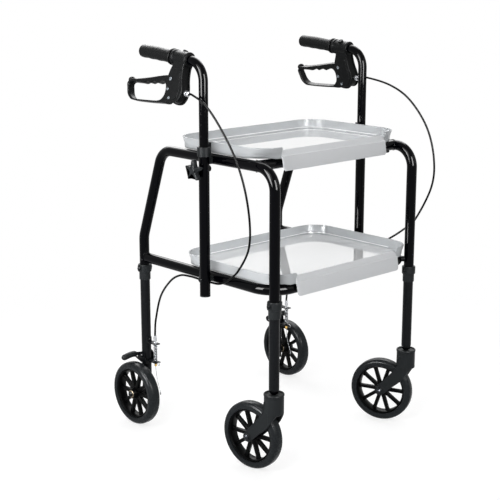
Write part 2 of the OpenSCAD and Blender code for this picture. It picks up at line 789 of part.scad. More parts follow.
module housing_outline() {
    translate([housing_start, 0])
        polygon(smooth_loop(scaled(housing_shares, [housing_len, housing_drop]), 4));
}

module guide_rivets() {
    for (s = guide_rivet_shares)
        translate([0, housing_start + s[0] * housing_len, s[1] * housing_drop]) children();
}

module brake_housing(side) {
    color([0.16, 0.16, 0.17]) at_grip(side, brake_tilt(side)) difference() {
        union() {
            rotate([90, 0, 90]) linear_extrude(height = housing_w, center = true) housing_outline();
            translate([0, housing_start + housing_len / 2, 0]) along_y(housing_ring_d, housing_len);
        }
        rotate([90, 0, 90]) linear_extrude(height = pocket_w, center = true)
            translate([housing_start, 0]) polygon(scaled(pocket_shares, [housing_len, housing_drop]));
        translate([0, housing_start, 0]) along_y(handle_hole_d, 4 * housing_len);
        translate([0, pivot_y, pivot_z]) along_x(rivet_d + 2 * fit_gap, 2 * housing_w);
        guide_rivets() along_x(rivet_d + 2 * fit_gap, 2 * housing_w);
        translate([0, adjuster_y - adjuster_len + adjuster_seat, adjuster_z])
            rotate([-90, 0, 0]) cylinder(d = adjuster_d + 2 * fit_gap, h = adjuster_len + fit_gap);
    }
}

// Rivets, clamp screw and cable adjuster of one brake housing
module brake_fittings(side) {
    rivet_l = housing_w + 2 * fit_gap;
    color([0.75, 0.76, 0.78]) at_grip(side, brake_tilt(side)) {
        translate([0, pivot_y, pivot_z]) bolt_x(rivet_l, rivet_d, rivet_head_d, rivet_head_h);
        guide_rivets() for (s = sides) translate([s * rivet_l / 2, 0, 0]) {
            rotate([0, s * 90, 0]) bolt_head(rivet_head_d, rivet_head_h);
            rotate([0, -s * 90, 0]) cylinder(d = rivet_d, h = cheek_t);
        }
        translate([0, housing_start + clamp_screw_share * housing_len, housing_ring_d / 2 + fit_gap])
            bolt_head(clamp_screw_d, clamp_screw_h);
        translate([0, adjuster_y - adjuster_len, adjuster_z]) rotate([-90, 0, 0])
            cylinder(d = adjuster_d, h = adjuster_len + adjuster_seat);
    }
}

module brake_lever(side) {
    size = [lever_len, lever_drop];
    knuckle = scaled([knuckle_place_shares], size)[0];
    color([0.1, 0.1, 0.11]) at_grip(side, brake_tilt(side)) translate([0, pivot_y, pivot_z]) difference() {
        union() {
            rotate([90, 0, 90]) linear_extrude(height = lever_w, center = true)
                polygon(smooth_loop(scaled(lever_shares, size), 4));
            translate([0, knuckle[0], knuckle[1]]) along_x(2 * knuckle_r, lever_w - 2 * knuckle_inset);
        }
        rotate([90, 0, 90]) linear_extrude(height = lever_w + 2 * cut_over, center = true)
            polygon(smooth_loop(scaled(lever_hole_shares, size), 4));
        along_x(rivet_d + 2 * run_gap, 2 * lever_w);
    }
}

// Star knob with its stud, drawn outwards from the post's axis, with one arm straight up
module clamp_knob(side) {
    stud_start = inner_tube_d / 2 + clear_gap;
    star_start = frame_tube_d / 2 + clear_gap + knob_neck_l;
    tip_r = (knob_d - knob_tip_w) / 2;
    color([0.14, 0.14, 0.15]) translate([side * post_x, post_y, knob_z]) rotate([0, side * 90, 0]) {
        translate([0, 0, stud_start]) cylinder(d = knob_stud_d, h = star_start - stud_start);
        translate([0, 0, star_start - knob_neck_l]) cylinder(d = knob_neck_d, h = knob_neck_l);
        translate([0, 0, star_start]) linear_extrude(height = knob_t) union() {
            circle(d = knob_hub_d);
            for (k = [0 : knob_arms - 1]) rotate([0, 0, 90 * (1 + side) + 360 * k / knob_arms]) {
                polygon([
                    [0, -knob_arm_w / 2], [tip_r, -knob_tip_w / 2],
                    [tip_r, knob_tip_w / 2], [0, knob_arm_w / 2]
                ]);
                translate([tip_r, 0]) circle(d = knob_tip_w);
            }
        }
    }
}

// Wheels, drawn about X at the wheel's middle

module tyre() {
    r = wheel_d / 2;
    color([0.2, 0.2, 0.205]) rotate([0, 90, 0]) rotate_extrude() difference() {
        union() {
            translate([rim_r, -tyre_w / 2]) square([tyre_depth - tyre_edge_r, tyre_w]);
            translate([rim_r, tyre_edge_r - tyre_w / 2]) square([tyre_depth, tyre_w - 2 * tyre_edge_r]);
            for (s = sides)
                translate([r - tyre_edge_r, s * (tyre_w / 2 - tyre_edge_r)]) circle(r = tyre_edge_r);
        }
        translate([0, -tyre_w]) square([rim_r, 2 * tyre_w]);
    }
}

module wheel() {
    outer = rim_r - seat_gap;
    color([0.04, 0.04, 0.045]) rotate([0, 90, 0]) difference() {
        union() {
            cylinder(d = hub_d, h = hub_w, center = true);
            rotate_extrude() translate([outer - rim_t, -rim_w / 2]) square([rim_t, rim_w]);
            for (k = [0 : spokes - 1]) rotate([0, 0, 360 * k / spokes])
                linear_extrude(height = spoke_w, center = true)
                    polygon([
                        [spoke_start, -spoke_root / 2], [outer - rim_t / 2, -spoke_tip / 2],
                        [outer - rim_t / 2, spoke_tip / 2], [spoke_start, spoke_root / 2]
                    ]);
        }
        cylinder(d = axle_d + 2 * run_gap, h = 2 * hub_w, center = true);
    }
}

// Front legs and castors

function swivel(side) = side == right ? right_swivel : left_swivel;

module at_caster(side) {
    translate([side * side_x, front_leg_y, 0]) rotate([0, 0, swivel(side)]) children();
}

module at_front_wheel(side) {
    at_caster(side) translate([0, trail, axle_z]) children();
}

// Lower leg with a slimmer end that goes into the frame tube
module lower_leg(side, y, bottom_z) {
    translate([side * side_x, y, bottom_z]) difference() {
        union() {
            cylinder(d = leg_tube_d, h = leg_tube_end_z - fit_gap - bottom_z);
            cylinder(d = inner_tube_d, h = leg_top_z - bottom_z);
        }
        translate([0, 0, -cut_over]) cylinder(d = leg_bore_d, h = leg_top_z - bottom_z + 2 * cut_over);
    }
}

module front_leg(side) {
    color([0.1, 0.1, 0.105]) difference() {
        lower_leg(side, front_leg_y, front_leg_end_z);
        leg_bolts(side, bolt_hole_d, frame_tube_d);
    }
}

module caster_stem(side) {
    color([0.1, 0.1, 0.105]) translate([side * side_x, front_leg_y, 0]) {
        translate([0, 0, fork_top_z - stem_depth]) cylinder(d = stem_d, h = stem_depth + stem_play);
        translate([0, 0, fork_top_z + stem_play])
            cylinder(d = stem_nut_d, h = stem_nut_h - fit_gap, $fn = 6);
        translate([0, 0, fork_top_z + stem_play])
            cylinder(d = leg_bore_d - 2 * fit_gap, h = stem_nut_h + stem_insert);
    }
}

module fork(side) {
    color([0.16, 0.16, 0.17]) at_caster(side) difference() {
        union() {
            translate([0, 0, axle_z + fork_crown_share * fork_height])
                cylinder(d = fork_head_d, h = (1 - fork_crown_share) * fork_height);
            translate([0, 0, fork_top_z - fork_ring_h]) cylinder(d = fork_ring_d, h = fork_ring_h);
            intersection() {
                translate([0, 0, axle_z]) rotate([90, 0, 90])
                    linear_extrude(height = fork_head_d, center = true)
                    polygon(scaled(fork_shares, [trail, fork_height]));
                union() {
                    cylinder(d = fork_head_d, h = fork_top_z);
                    translate([-fork_head_d / 2, 0, 0])
                        cube([fork_head_d, trail + fork_head_d, fork_top_z]);
                }
            }
        }
        translate([0, trail, axle_z]) along_x(wheel_d + 2 * tyre_top_gap, fork_slot_w);
        translate([0, trail, axle_z]) along_x(axle_d + 2 * fit_gap, 2 * fork_head_d);
        translate([0, 0, fork_top_z - stem_depth - cut_over])
            cylinder(d = stem_d + 2 * run_gap, h = stem_depth + 2 * cut_over);
    }
}

module front_axle(side) {
    color([0.1, 0.1, 0.105]) at_front_wheel(side) bolt_x(fork_head_d + 2 * fit_gap, axle_d, nut_d, nut_h);
}

// Rear legs, wheels and brakes

module at_rear_leg(side, z) {
    translate([side * side_x, rear_leg_y, z]) children();
}

module at_rear_wheel(side) {
    at_rear_leg(side, axle_z) translate([side * rear_wheel_offset, 0, 0]) children();
}

module rear_leg(side) {
    color([0.1, 0.1, 0.105]) difference() {
        lower_leg(side, rear_leg_y, axle_z - rear_leg_below_axle);
        leg_bolts(side, bolt_hole_d, frame_tube_d);
        at_rear_leg(side, axle_z) along_x(axle_d + 2 * fit_gap, 2 * leg_tube_d);
        at_rear_leg(side, brake_pivot_z) along_x(bolt_hole_d, 2 * leg_tube_d);
    }
}

// Axle bolt through the leg, with a spacer towards the wheel and a nut outside it
module rear_axle(side) {
    inner = leg_tube_d / 2 + fit_gap;
    outer = rear_wheel_offset + hub_w / 2 + clear_gap;
    color([0.55, 0.5, 0.38]) at_rear_leg(side, axle_z) rotate([0, side * 90, 0]) {
        translate([0, 0, -inner]) cylinder(d = axle_d, h = inner + outer);
        translate([0, 0, -inner]) rotate([180, 0, 0]) bolt_head(nut_d, nut_h);
        translate([0, 0, inner]) cylinder(d = nut_d, h = spacer_t - fit_gap - clear_gap);
        translate([0, 0, outer]) bolt_head(nut_d, nut_h);
    }
}

// Bracket riveted to the front of the leg: a saddle, its rivet and the plate that the cable ends on
module cable_stop(side) {
    color([0.1, 0.1, 0.105]) at_rear_leg(side, stop_z) difference() {
        union() {
            intersection() {
                cylinder(d = stop_ring_d, h = stop_ring_h);
                translate([-stop_plate_w / 2, -stop_ring_d, 0])
                    cube([stop_plate_w, stop_ring_d, stop_ring_h]);
            }
            translate([0, stop_rivet_h - stop_ring_d / 2, (stop_plate_t + stop_ring_h) / 2])
                rotate([90, 0, 0]) bolt_head(stop_rivet_d, 2 * stop_rivet_h);
            translate([-stop_plate_w / 2, -stop_front, 0]) cube([stop_plate_w, stop_front, stop_plate_t]);
        }
        cylinder(d = leg_hole_d, h = 4 * stop_ring_h, center = true);
        translate([0, -cable_reach, -cut_over])
            cylinder(d = rear_adjuster_neck_d + 2 * fit_gap, h = 2 * stop_plate_t);
    }
}

module cable_adjusters() {
    color([0.75, 0.76, 0.78]) for (s = sides)
    at_rear_leg(s, stop_z) translate([0, -cable_reach, 0]) difference() {
        union() {
            translate([0, 0, stop_plate_t + fit_gap])
                cylinder(d = rear_adjuster_d, h = rear_adjuster_h - fit_gap);
            cylinder(d = rear_adjuster_neck_d, h = rear_adjuster_h);
        }
        translate([0, 0, -cut_over])
            cylinder(d = wire_d + 2 * fit_gap, h = rear_adjuster_h + stop_plate_t + 2 * cut_over);
    }
}

// Arm that swings on the leg: two cheeks, a front plate for the wire and a rear eye for the bar
module brake_arm(side) {
    inner = leg_tube_d / 2 + arm_gap;
    width = 2 * (inner + arm_t);
    front = leg_tube_d / 2 + arm_gap;
    eye = [bar_back, bar_z - brake_pivot_z];
    color([0.1, 0.1, 0.105]) at_rear_leg(side, brake_pivot_z) difference() {
        union() {
            for (s = sides) translate([s * (inner + arm_t / 2), 0, 0]) {
                along_x(arm_cheek_h, arm_t);
                translate([0, eye[0], eye[1]]) along_x(brake_bar_d, arm_t);
                rotate([90, 0, 90]) linear_extrude(height = arm_t, center = true) polygon([
                    [0, arm_cheek_h / 2],
                    [eye[0], eye[1] + brake_bar_d / 2], [eye[0], eye[1] - brake_bar_d / 2],
                    [0, -arm_cheek_h], [-front - arm_t, -arm_cheek_h], [-front - arm_t, -arm_plate_drop]
                ]);
            }
            translate([-width / 2, -front - arm_t, -arm_cheek_h])
                cube([width, arm_t, arm_cheek_h - arm_plate_drop]);
            translate([-arm_plate_w / 2, -arm_front, -arm_plate_drop - arm_t])
                cube([arm_plate_w, arm_front - front, arm_t]);
        }
        along_x(bolt_d + 2 * run_gap, 2 * width);
        translate([0, eye[0], eye[1]]) along_x(bar_rod_d + 2 * fit_gap, 2 * width);
        translate([0, -cable_reach, -2 * arm_plate_drop])
            cylinder(d = wire_d + 2 * fit_gap, h = 2 * arm_plate_drop);
    }
}

// Rod through the arm's eyes, with the sleeve that presses on the tyre
module brake_bar(side) {
    inner = leg_tube_d / 2 + arm_gap + arm_t;
    color([0.04, 0.04, 0.045])
    at_rear_leg(side, bar_z) translate([0, bar_back, 0]) rotate([0, side * 90, 0]) {
        translate([0, 0, -inner]) cylinder(d = bar_rod_d, h = inner + bar_outer);
        translate([0, 0, bar_inner]) cylinder(d = brake_bar_d, h = bar_outer - bar_inner);
    }
}

// Return spring between the arm's plate and the cable stop, with straight wire ends
spring_low = plate_top_z + fit_gap;
spring_high = stop_z - fit_gap;
spring_steps = spring_turns * spring_rings;
spring_rise = spring_high - spring_low - 2 * spring_wire_d;
function spring_angle(i) = 360 * i / spring_rings;
function spring_point(i) =
    [spring_r * cos(spring_angle(i)), spring_r * sin(spring_angle(i)),
        spring_low + spring_wire_d + spring_rise * i / spring_steps];
spring_path = concat(
    [[spring_r, 0, spring_low]],
    [for (i = [0 : spring_steps]) spring_point(i)],
    [[spring_r * cos(spring_angle(spring_steps)), spring_r * sin(spring_angle(spring_steps)), spring_high]]);
spring_half = spring_rings / 2;
spring_self_gap = min([for (i = [0 : spring_steps - spring_half], j = [i + spring_half : spring_steps])
    norm(spring_point(i) - spring_point(j))]) - spring_wire_d;
echo(spring_self_gap = spring_self_gap);

module return_spring(side) {
    color([0.7, 0.71, 0.73]) at_rear_leg(side, 0) translate([0, -cable_reach, 0])
        swept_tube(spring_path, [for (p = spring_path) [p[0], p[1], 0]], spring_wire_d, spring_sides);
}

// Inner wire from the adjuster down through the spring, its brass pinch bolt and its loose tail
module brake_wire(side) {
    top = cable_end_z - brake_pivot_z;
    clamp_top = -arm_plate_drop - arm_t - fit_gap;
    tail = [wire_tail_out, wire_tail_drop];
    color([0.72, 0.6, 0.3]) at_rear_leg(side, brake_pivot_z) translate([0, -cable_reach, 0]) {
        translate([0, 0, clamp_top]) cylinder(d = wire_d, h = top - clamp_top);
        translate([0, 0, clamp_top - pinch_h]) cylinder(d = pinch_d, h = pinch_h);
        translate([0, 0, clamp_top - pinch_h]) rotate([180 - atan2(tail[0], tail[1]), 0, 0]) {
            cylinder(d = wire_d, h = norm(tail));
            translate([0, 0, norm(tail)]) cylinder(d = wire_end_d, h = 2 * wire_end_d);
        }
    }
}

side_frame(right);  // right_side_frame
side_frame(left);  // left_side_frame
upper_crossbar();
lower_tray_rail();
handle_post(right);  // right_handle_post
handle_post(left);  // left_handle_post
post_clamps();
leg_collars();
frame_bolts();
tube_plugs();
cable_clips();
brake_cable(right);  // right_brake_cable
brake_cable(left);  // left_brake_cable
upper_tray();
lower_tray();
handle_tube(right);  // right_handle_tube
handle_tube(left);  // left_handle_tube
grip(right);  // right_grip
grip(left);  // left_grip
brake_housing(right);  // right_brake_housing
brake_housing(left);  // left_brake_housing
brake_fittings(right);  // right_brake_fittings
brake_fittings(left);  // left_brake_fittings
brake_lever(right);  // right_brake_lever
brake_lever(left);  // left_brake_lever
clamp_knob(right);  // right_clamp_knob
clamp_knob(left);  // left_clamp_knob
front_leg(right);  // right_front_leg
front_leg(left);  // left_front_leg
caster_stem(right);  // right_caster_stem
caster_stem(left);  // left_caster_stem
fork(right);  // right_fork
fork(left);  // left_fork
front_axle(right);  // right_front_axle
front_axle(left);  // left_front_axle
at_front_wheel(right) tyre();  // right_front_tyre
at_front_wheel(left) tyre();  // left_front_tyre
at_front_wheel(right) wheel();  // right_front_wheel
at_front_wheel(left) wheel();  // left_front_wheel
rear_leg(right);  // right_rear_leg
rear_leg(left);  // left_rear_leg
rear_axle(right);  // right_rear_axle
rear_axle(left);  // left_rear_axle
at_rear_wheel(right) tyre();  // right_rear_tyre
at_rear_wheel(left) tyre();  // left_rear_tyre
at_rear_wheel(right) wheel();  // right_rear_wheel
at_rear_wheel(left) wheel();  // left_rear_wheel
cable_stop(right);  // right_cable_stop
cable_stop(left);  // left_cable_stop
cable_adjusters();
brake_arm(right);  // right_brake_arm
brake_arm(left);  // left_brake_arm
brake_bar(right);  // right_brake_bar
brake_bar(left);  // left_brake_bar
return_spring(right);  // right_return_spring
return_spring(left);  // left_return_spring
brake_wire(right);  // right_brake_wire
brake_wire(left);  // left_brake_wire
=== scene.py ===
"""Indoor walker with two trays: the looks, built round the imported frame.

Lengths are in metres in the frame's own axes: +Z up, +Y towards the user, the user's right at -X.
Most outlines and profiles are tables in millimetres, times MM; those of a lever are shares of its size.
A profile that is turned holds pairs of radius and height.
A surface is an array worked out with numpy as a whole, and goes into its mesh in one call.
"""

import json

import bmesh
import bpy
import numpy as np
from bpy.props import FloatProperty, FloatVectorProperty, IntProperty, PointerProperty
from mathutils import Matrix, Vector


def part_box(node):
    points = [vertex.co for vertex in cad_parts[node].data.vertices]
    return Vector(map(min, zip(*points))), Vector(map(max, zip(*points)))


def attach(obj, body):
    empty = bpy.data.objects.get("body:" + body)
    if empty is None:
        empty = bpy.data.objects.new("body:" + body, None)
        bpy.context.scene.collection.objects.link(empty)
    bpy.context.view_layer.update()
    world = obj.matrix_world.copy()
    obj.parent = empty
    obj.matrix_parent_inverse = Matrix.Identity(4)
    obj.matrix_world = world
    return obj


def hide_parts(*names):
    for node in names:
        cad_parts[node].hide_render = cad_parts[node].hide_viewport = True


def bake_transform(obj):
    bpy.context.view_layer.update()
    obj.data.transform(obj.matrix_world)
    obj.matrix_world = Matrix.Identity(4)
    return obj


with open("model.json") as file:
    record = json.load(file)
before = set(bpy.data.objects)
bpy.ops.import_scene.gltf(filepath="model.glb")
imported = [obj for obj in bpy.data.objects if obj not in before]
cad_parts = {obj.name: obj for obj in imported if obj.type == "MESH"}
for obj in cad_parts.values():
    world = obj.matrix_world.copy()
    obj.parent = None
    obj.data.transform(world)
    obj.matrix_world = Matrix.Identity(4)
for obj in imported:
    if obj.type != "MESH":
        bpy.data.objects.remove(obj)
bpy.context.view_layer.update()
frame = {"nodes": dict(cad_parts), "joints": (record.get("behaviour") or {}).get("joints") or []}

bl_info = {
    "name": "Indoor walker with trays",
    "version": (1, 0, 0),
    "blender": (4, 5, 0),
    "location": "View3D > Sidebar > Walker",
    "description": "Builds the surfaces and finishes of an indoor walker round its packed frame",
    "category": "Add Mesh",
}

MM = 0.001
TAU = 2 * np.pi
X_AXIS, Y_AXIS, Z_AXIS = np.eye(3)
SIDES = (("right", -1), ("left", 1))
JOINTS = {joint["name"]: joint for joint in frame["joints"]}


def low(node):
    """Lowest corner of a node's box."""
    return np.array(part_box(node)[0])


def high(node):
    """Highest corner of a node's box."""
    return np.array(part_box(node)[1])


def middle(node):
    """Middle of a node's box."""
    return (low(node) + high(node)) / 2


def pivot(joint):
    """Place of a joint."""
    return np.array(JOINTS[joint]["pos_m"], float)


TUBE_R = (high("right_handle_post") - low("right_handle_post"))[0] / 2
LEG_R = (high("right_front_leg") - low("right_front_leg"))[0] / 2
HANDLE_R = (high("right_handle_tube") - low("right_handle_tube"))[0] / 2
SIDE_X = middle("left_side_frame")[0]
POST_X = middle("left_handle_post")[0]
POST_Y = middle("left_handle_post")[1]
TOP_Z = middle("upper_crossbar")[2]
RAIL_Z = middle("lower_tray_rail")[2]
FRONT_Y = pivot("left_caster_swivel")[1]
REAR_Y = pivot("left_rear_wheel_spin")[1]
WHEEL_R = pivot("left_rear_wheel_spin")[2]
SEAT_GAP = 0.0001

# Sizes and colours that a user would change


def length_prop(name, words, value, least, most):
    """A length with its default and range."""
    return FloatProperty(name=name, description=words, default=value, min=least, max=most, subtype="DISTANCE")


def angle_prop(name, words, value, least, most):
    """An angle with its default and range, in radians."""
    return FloatProperty(name=name, description=words, default=value, min=least, max=most, subtype="ANGLE")


def count_prop(name, words, value, least, most):
    """A whole number with its default and range."""
    return IntProperty(name=name, description=words, default=value, min=least, max=most)


def colour_prop(name, words, value):
    """A colour with its default."""
    return FloatVectorProperty(
        name=name, description=words, default=value, size=3, min=0, max=1, subtype="COLOR")


class WalkerSizes(bpy.types.PropertyGroup):
    """Sizes that shape the pieces."""

    front_bend: length_prop("Front bend", "Bend of the side tube over the front leg", 0.05, 0.03, 0.08)
    rear_bend: length_prop("Rear bend", "Bend of the side tube at the upper rail's rear", 0.048, 0.03, 0.08)
    knee_bend: length_prop("Knee bend", "Bend where the slanted rear leg turns upright", 0.06, 0.04, 0.1)
    knee_rise: length_prop("Knee height", "Height of the knee above the lower rail", 0.0535, 0.03, 0.1)
    rear_lean: angle_prop("Rear lean", "Slant of the upper rear leg from upright", np.radians(19.3), 0.1, 0.5)
    rail_bend: length_prop("Rail bend", "Bend of the lower rail's front corners", 0.06, 0.04, 0.09)
    handle_bend: length_prop("Handle bend", "Bend of the handle tubes", 0.045, 0.03, 0.06)
    handle_corner: length_prop("Handle corner", "Height where the tube's legs would cross", 0.923, 0.85, 1)
    handle_reach: length_prop("Handle reach", "Length of a handle tube behind its corner", 0.211, 0.18, 0.25)
    first_hole: length_prop("First hole", "Height of a handle tube's lowest height hole", 0.636, 0.6, 0.7)
    hole_pitch: length_prop("Hole pitch", "Step between the height holes", 0.025, 0.02, 0.03)
    hole_count: count_prop("Height holes", "Height holes of each handle tube", 9, 5, 10)
    grip_rise: angle_prop("Grip rise", "Rise of the grips towards the user", np.radians(4.2), 0, 0.2)
    grip_bulge: length_prop("Grip bulge", "Swell of the palm and of the finger waves", 0.0014, 0, 0.003)
    tray_rim: length_prop("Tray rim", "Height of a tray's rim above its floor", 0.023, 0.015, 0.03)
    tray_corner: length_prop("Tray corner", "Rounding of a tray's corners", 0.06, 0.04, 0.08)
    spokes: count_prop("Spokes", "Spokes of each wheel", 10, 5, 16)
    spring_turns: count_prop("Spring turns", "Turns of each return spring", 10, 6, 16)
    cable_r: length_prop("Cable radius", "Radius of the brake cables", 0.0025, 0.002, 0.003)


class WalkerColours(bpy.types.PropertyGroup):
    """Colours of the finishes."""

    paint: colour_prop("Frame paint", "Gloss black coat of the frame tubes", (0.0006, 0.0007, 0.0014))
    satin: colour_prop("Leg paint", "Satin black legs, bolts and brake arms", (0.0036, 0.0043, 0.0055))
    moulded: colour_prop("Moulded plastic", "Matte black forks, collars and knobs", (0.0152, 0.0172, 0.0186))
    brake: colour_prop("Brake plastic", "Smooth black brake housings and levers", (0.0034, 0.0038, 0.0042))
    rubber: colour_prop("Grip rubber", "Textured rubber of the grips", (0.0035, 0.0037, 0.004))
    tyre: colour_prop("Tyre", "Rubber of the tyres", (0.0148, 0.0168, 0.0186))
    wheel: colour_prop("Wheel", "Plastic of the wheels", (0.0014, 0.0015, 0.0017))
    tray: colour_prop("Tray", "Light grey plastic of the trays", (0.43, 0.446, 0.459))
    floor: colour_prop("Tray floor", "Polished plastic of the tray floors", (0.77, 0.78, 0.79))
    # The pale bead colour is a painted highlight: it stands in for the bright line of light along the fillet
    # at the foot of the tray walls.
    highlight_bead: colour_prop("Tray bead", "Pale bead along the foot of the tray walls", (0.9, 0.91, 0.92))
    apron: colour_prop("Tray apron", "Light grey plastic of the front lips", (0.6, 0.612, 0.628))
    steel: colour_prop("Bright steel", "Zinc plated cable adjusters", (0.5, 0.51, 0.53))
    spring: colour_prop("Spring steel", "Return springs and inner wires", (0.2, 0.205, 0.215))
    rivet: colour_prop("Rivet", "Dull zinc of the rivets", (0.2, 0.225, 0.25))
    brass: colour_prop("Brass", "Pinch bolts", (0.62, 0.4, 0.13))
    bush: colour_prop("Bush", "Dull metal of the wheel bushes", (0.17, 0.14, 0.1))
    black_steel: colour_prop("Blackened steel", "Front axles", (0.022, 0.023, 0.026))
    sheath: colour_prop("Cable sheath", "Plastic sheath of the cables", (0.0025, 0.0027, 0.003))


def sizes():
    """The scene's sizes."""
    return bpy.context.scene.walker_sizes


def colours():
    """The scene's colours."""
    return bpy.context.scene.walker_colours


# Arrays: paths, sections and grids of points


def unit(v):
    """Vectors scaled to length one."""
    return v / np.linalg.norm(v, axis=-1, keepdims=True)


def ramp(t, start, end):
    """Smooth step s^2 (3 - 2 s), with s from 0 at the start to 1 at the end."""
    s = np.clip((t - start) / (end - start), 0, 1)
    return s * s * (3 - 2 * s)


def quarter_arc(d, r):
    """Quarter circle that rises from 0 at d = 0 to 1 at d = r: sqrt(1 - (1 - d / r)^2)."""
    return np.sqrt(1 - (1 - np.clip(d / r, 0, 1)) ** 2)


def bell(t, centre, width):
    """Bell curve exp(-((t - centre) / width)^2)."""
    return np.exp(-((t - centre) / width) ** 2)


def turn(n):
    """Angles of n points round a circle."""
    return np.arange(n) * TAU / n


def bent_path(corners, radii, step=0.0025):
    """Points of a line with round bends: p = start + r (sin a u + (1 - cos a) n) round each corner."""
    corners = np.array(corners, float)
    points = [corners[:1]]
    for before, here, after, r in zip(corners[:-2], corners[1:-1], corners[2:], radii):
        u, v = unit(here - before), unit(after - here)
        bend = np.arccos(np.clip(u @ v, -1, 1))
        n = unit(v - (u @ v) * u)
        a = np.linspace(0, bend, max(4, int(r * bend / step)))[:, None]
        points.append(here - r * np.tan(bend / 2) * u + r * (np.sin(a) * u + (1 - np.cos(a)) * n))
    points.append(corners[-1:])
    return np.concatenate(points)


def catmull_rom(a, b, c, d, steps):
    """Curve from b to c: half of 2 b + (c - a) t + (2 a - 5 b + 4 c - d) t^2 + (3 b - a - 3 c + d) t^3."""
    t = (np.arange(steps) / steps)[None, :, None]
    a, b, c, d = (p[:, None] for p in (a, b, c, d))
    curve = (2 * b + (c - a) * t + (2 * a - 5 * b + 4 * c - d) * t**2 + (3 * b - a - 3 * c + d) * t**3) / 2
    return curve.reshape(-1, curve.shape[-1])


def smooth_path(points, steps):
    """Catmull-Rom curve through a list of points, with the ends repeated."""
    p = np.array(points, float)
    p = np.concatenate([p[:1], p, p[-1:]])
    return np.concatenate([catmull_rom(p[:-3], p[1:-2], p[2:-1], p[3:], steps), p[-1:]])


def smooth_loop(points, steps):
    """Closed Catmull-Rom curve through a list of points."""
    p = np.array(points, float)
    return catmull_rom(np.roll(p, 1, 0), p, np.roll(p, -1, 0), np.roll(p, -2, 0), steps)


def ring(n, r=1.0):
    """Section of n points on a circle."""
    a = turn(n)
    return r * np.stack([np.cos(a), np.sin(a)], -1)


def rounded_section(half_w, half_h, r, n=5):
    """Section of a rectangle with corners of radius r: each corner's centre + r (cos a, sin a)."""
    a = np.concatenate([np.linspace(0, np.pi / 2, n) + k * np.pi / 2 for k in range(4)])
    sign_x, sign_y = np.repeat([1, -1, -1, 1], n), np.repeat([1, 1, -1, -1], n)
    half_w, half_h, r = (np.asarray(v, float)[..., None] for v in (half_w, half_h, r))
    return np.stack([sign_x * (half_w - r) + r * np.cos(a), sign_y * (half_h - r) + r * np.sin(a)], -1)


def sweep(path, section, across, closed=False):
    """Grid of a section carried along a path: p + x a + y b, with a along across and b square to both."""
    path = np.asarray(path, float)
    if closed:
        t = unit(np.roll(path, -1, 0) - np.roll(path, 1, 0))
    else:
        t = unit(np.concatenate([path[1:2] - path[:1], path[2:] - path[:-2], path[-1:] - path[-2:-1]]))
    across = np.broadcast_to(np.asarray(across, float), path.shape)
    a = unit(across - (across * t).sum(-1, keepdims=True) * t)
    b = np.cross(t, a)
    section = np.broadcast_to(section, (len(path),) + np.shape(section)[-2:])
    return path[:, None] + section[..., :1] * a[:, None] + section[..., 1:] * b[:, None]


def lathe(profile, n=64):
    """Grid of a profile turned about Z: (r cos a, r sin a, h)."""
    profile = np.array(profile, float)
    a = turn(n)
    r, h = profile[:, :1], profile[:, 1:]
    return np.stack([r * np.cos(a), r * np.sin(a), h + 0 * a], -1)


def fillet(points, r, n=4, most_share=0.49):
    """Profile with rounded corners: each becomes (1 - t)^2 start + 2 t (1 - t) corner + t^2 end, from where
    an arc of radius r would start to where it would end, or nearer to the corner on a short side."""
    p = np.array(points, float)
    rounded = [p[:1]]
    for before, here, after in zip(p[:-2], p[1:-1], p[2:]):
        u, v = here - before, after - here
        reach = min(np.linalg.norm(u), np.linalg.norm(v)) * most_share
        u, v = unit(u), unit(v)
        half = np.arccos(np.clip(u @ v, -1, 1)) / 2
        cut = min(r * np.tan(half), reach)
        t = np.linspace(0, 1, n)[:, None]
        start, end = here - u * cut, here + v * cut
        rounded.append((1 - t) ** 2 * start + 2 * t * (1 - t) * here + t**2 * end)
    rounded.append(p[-1:])
    return np.concatenate(rounded)


def turned(profile, r, n=40):
    """Grid of a profile with rounded corners turned about Z."""
    return lathe(fillet(profile, r), n)


def outward(outline):
    """Unit vectors square to a closed outline that point out of it; the sign of its area tells which way."""
    along = unit(np.roll(outline, -1, 0) - np.roll(outline, 1, 0))
    x, y = outline.T
    sense = np.sign((x * np.roll(y, -1) - y * np.roll(x, -1)).sum())
    return sense * np.stack([along[:, 1], -along[:, 0]], -1)


def plate(outline, low_x, high_x, r, n=5):
    """Grid of an outline in Y and Z given a thickness in X, its two edges rounded to radius r."""
    outline = np.array(outline, float)
    a = np.linspace(0, np.pi / 2, n)
    inset = np.concatenate([r * (1 - np.sin(a)), r * (1 - np.cos(a))])
    height = np.concatenate([low_x + r * (1 - np.cos(a)), high_x - r * (1 - np.sin(a))])
    flat = outline[None] - inset[:, None, None] * outward(outline)[None]
    return np.concatenate([np.broadcast_to(height[:, None, None], flat.shape[:2] + (1,)), flat], -1)


def ball(centre, radii, n=24):
    """Grid of an ellipsoid about a centre."""
    a = np.linspace(0, np.pi, n // 2 + 1)
    grid = lathe(np.stack([np.sin(a), -np.cos(a)], -1), n)
    return grid * np.asarray(radii, float) + np.asarray(centre, float)


def dome(d, h, rim_share=0.25, tip_share=0.02, sunk=0.0002, n=24):
    """Grid of a domed head of diameter d that stands h above its seat: a short wall, then an elliptic arc."""
    a = np.linspace(0, np.pi / 2, 7)
    profile = np.stack([d / 2 * np.cos(a), rim_share * h + (1 - rim_share) * h * np.sin(a)], -1)
    return lathe(np.concatenate([[[d / 2, -sunk]], profile[:-1], [[d * tip_share, h]]]), n)


def moved(grid, matrix):
    """Grid carried by a matrix."""
    m = np.array(matrix, float)
    return grid @ m[:3, :3].T + m[:3, 3]


def placed(patches, matrix):
    """Patches carried by a matrix, each kept the kind that it is."""
    return [(moved(p[0], matrix), p[1]) if isinstance(p, tuple) else moved(p, matrix) for p in patches]


def shift(x, y, z=0):
    """Matrix that moves by x, y and z."""
    return Matrix.Translation((x, y, z))


def aim(origin, direction):
    """Matrix that puts local Z along a direction at an origin."""
    return shift(*origin) @ Vector(direction).to_track_quat("Z", "Y").to_matrix().to_4x4()


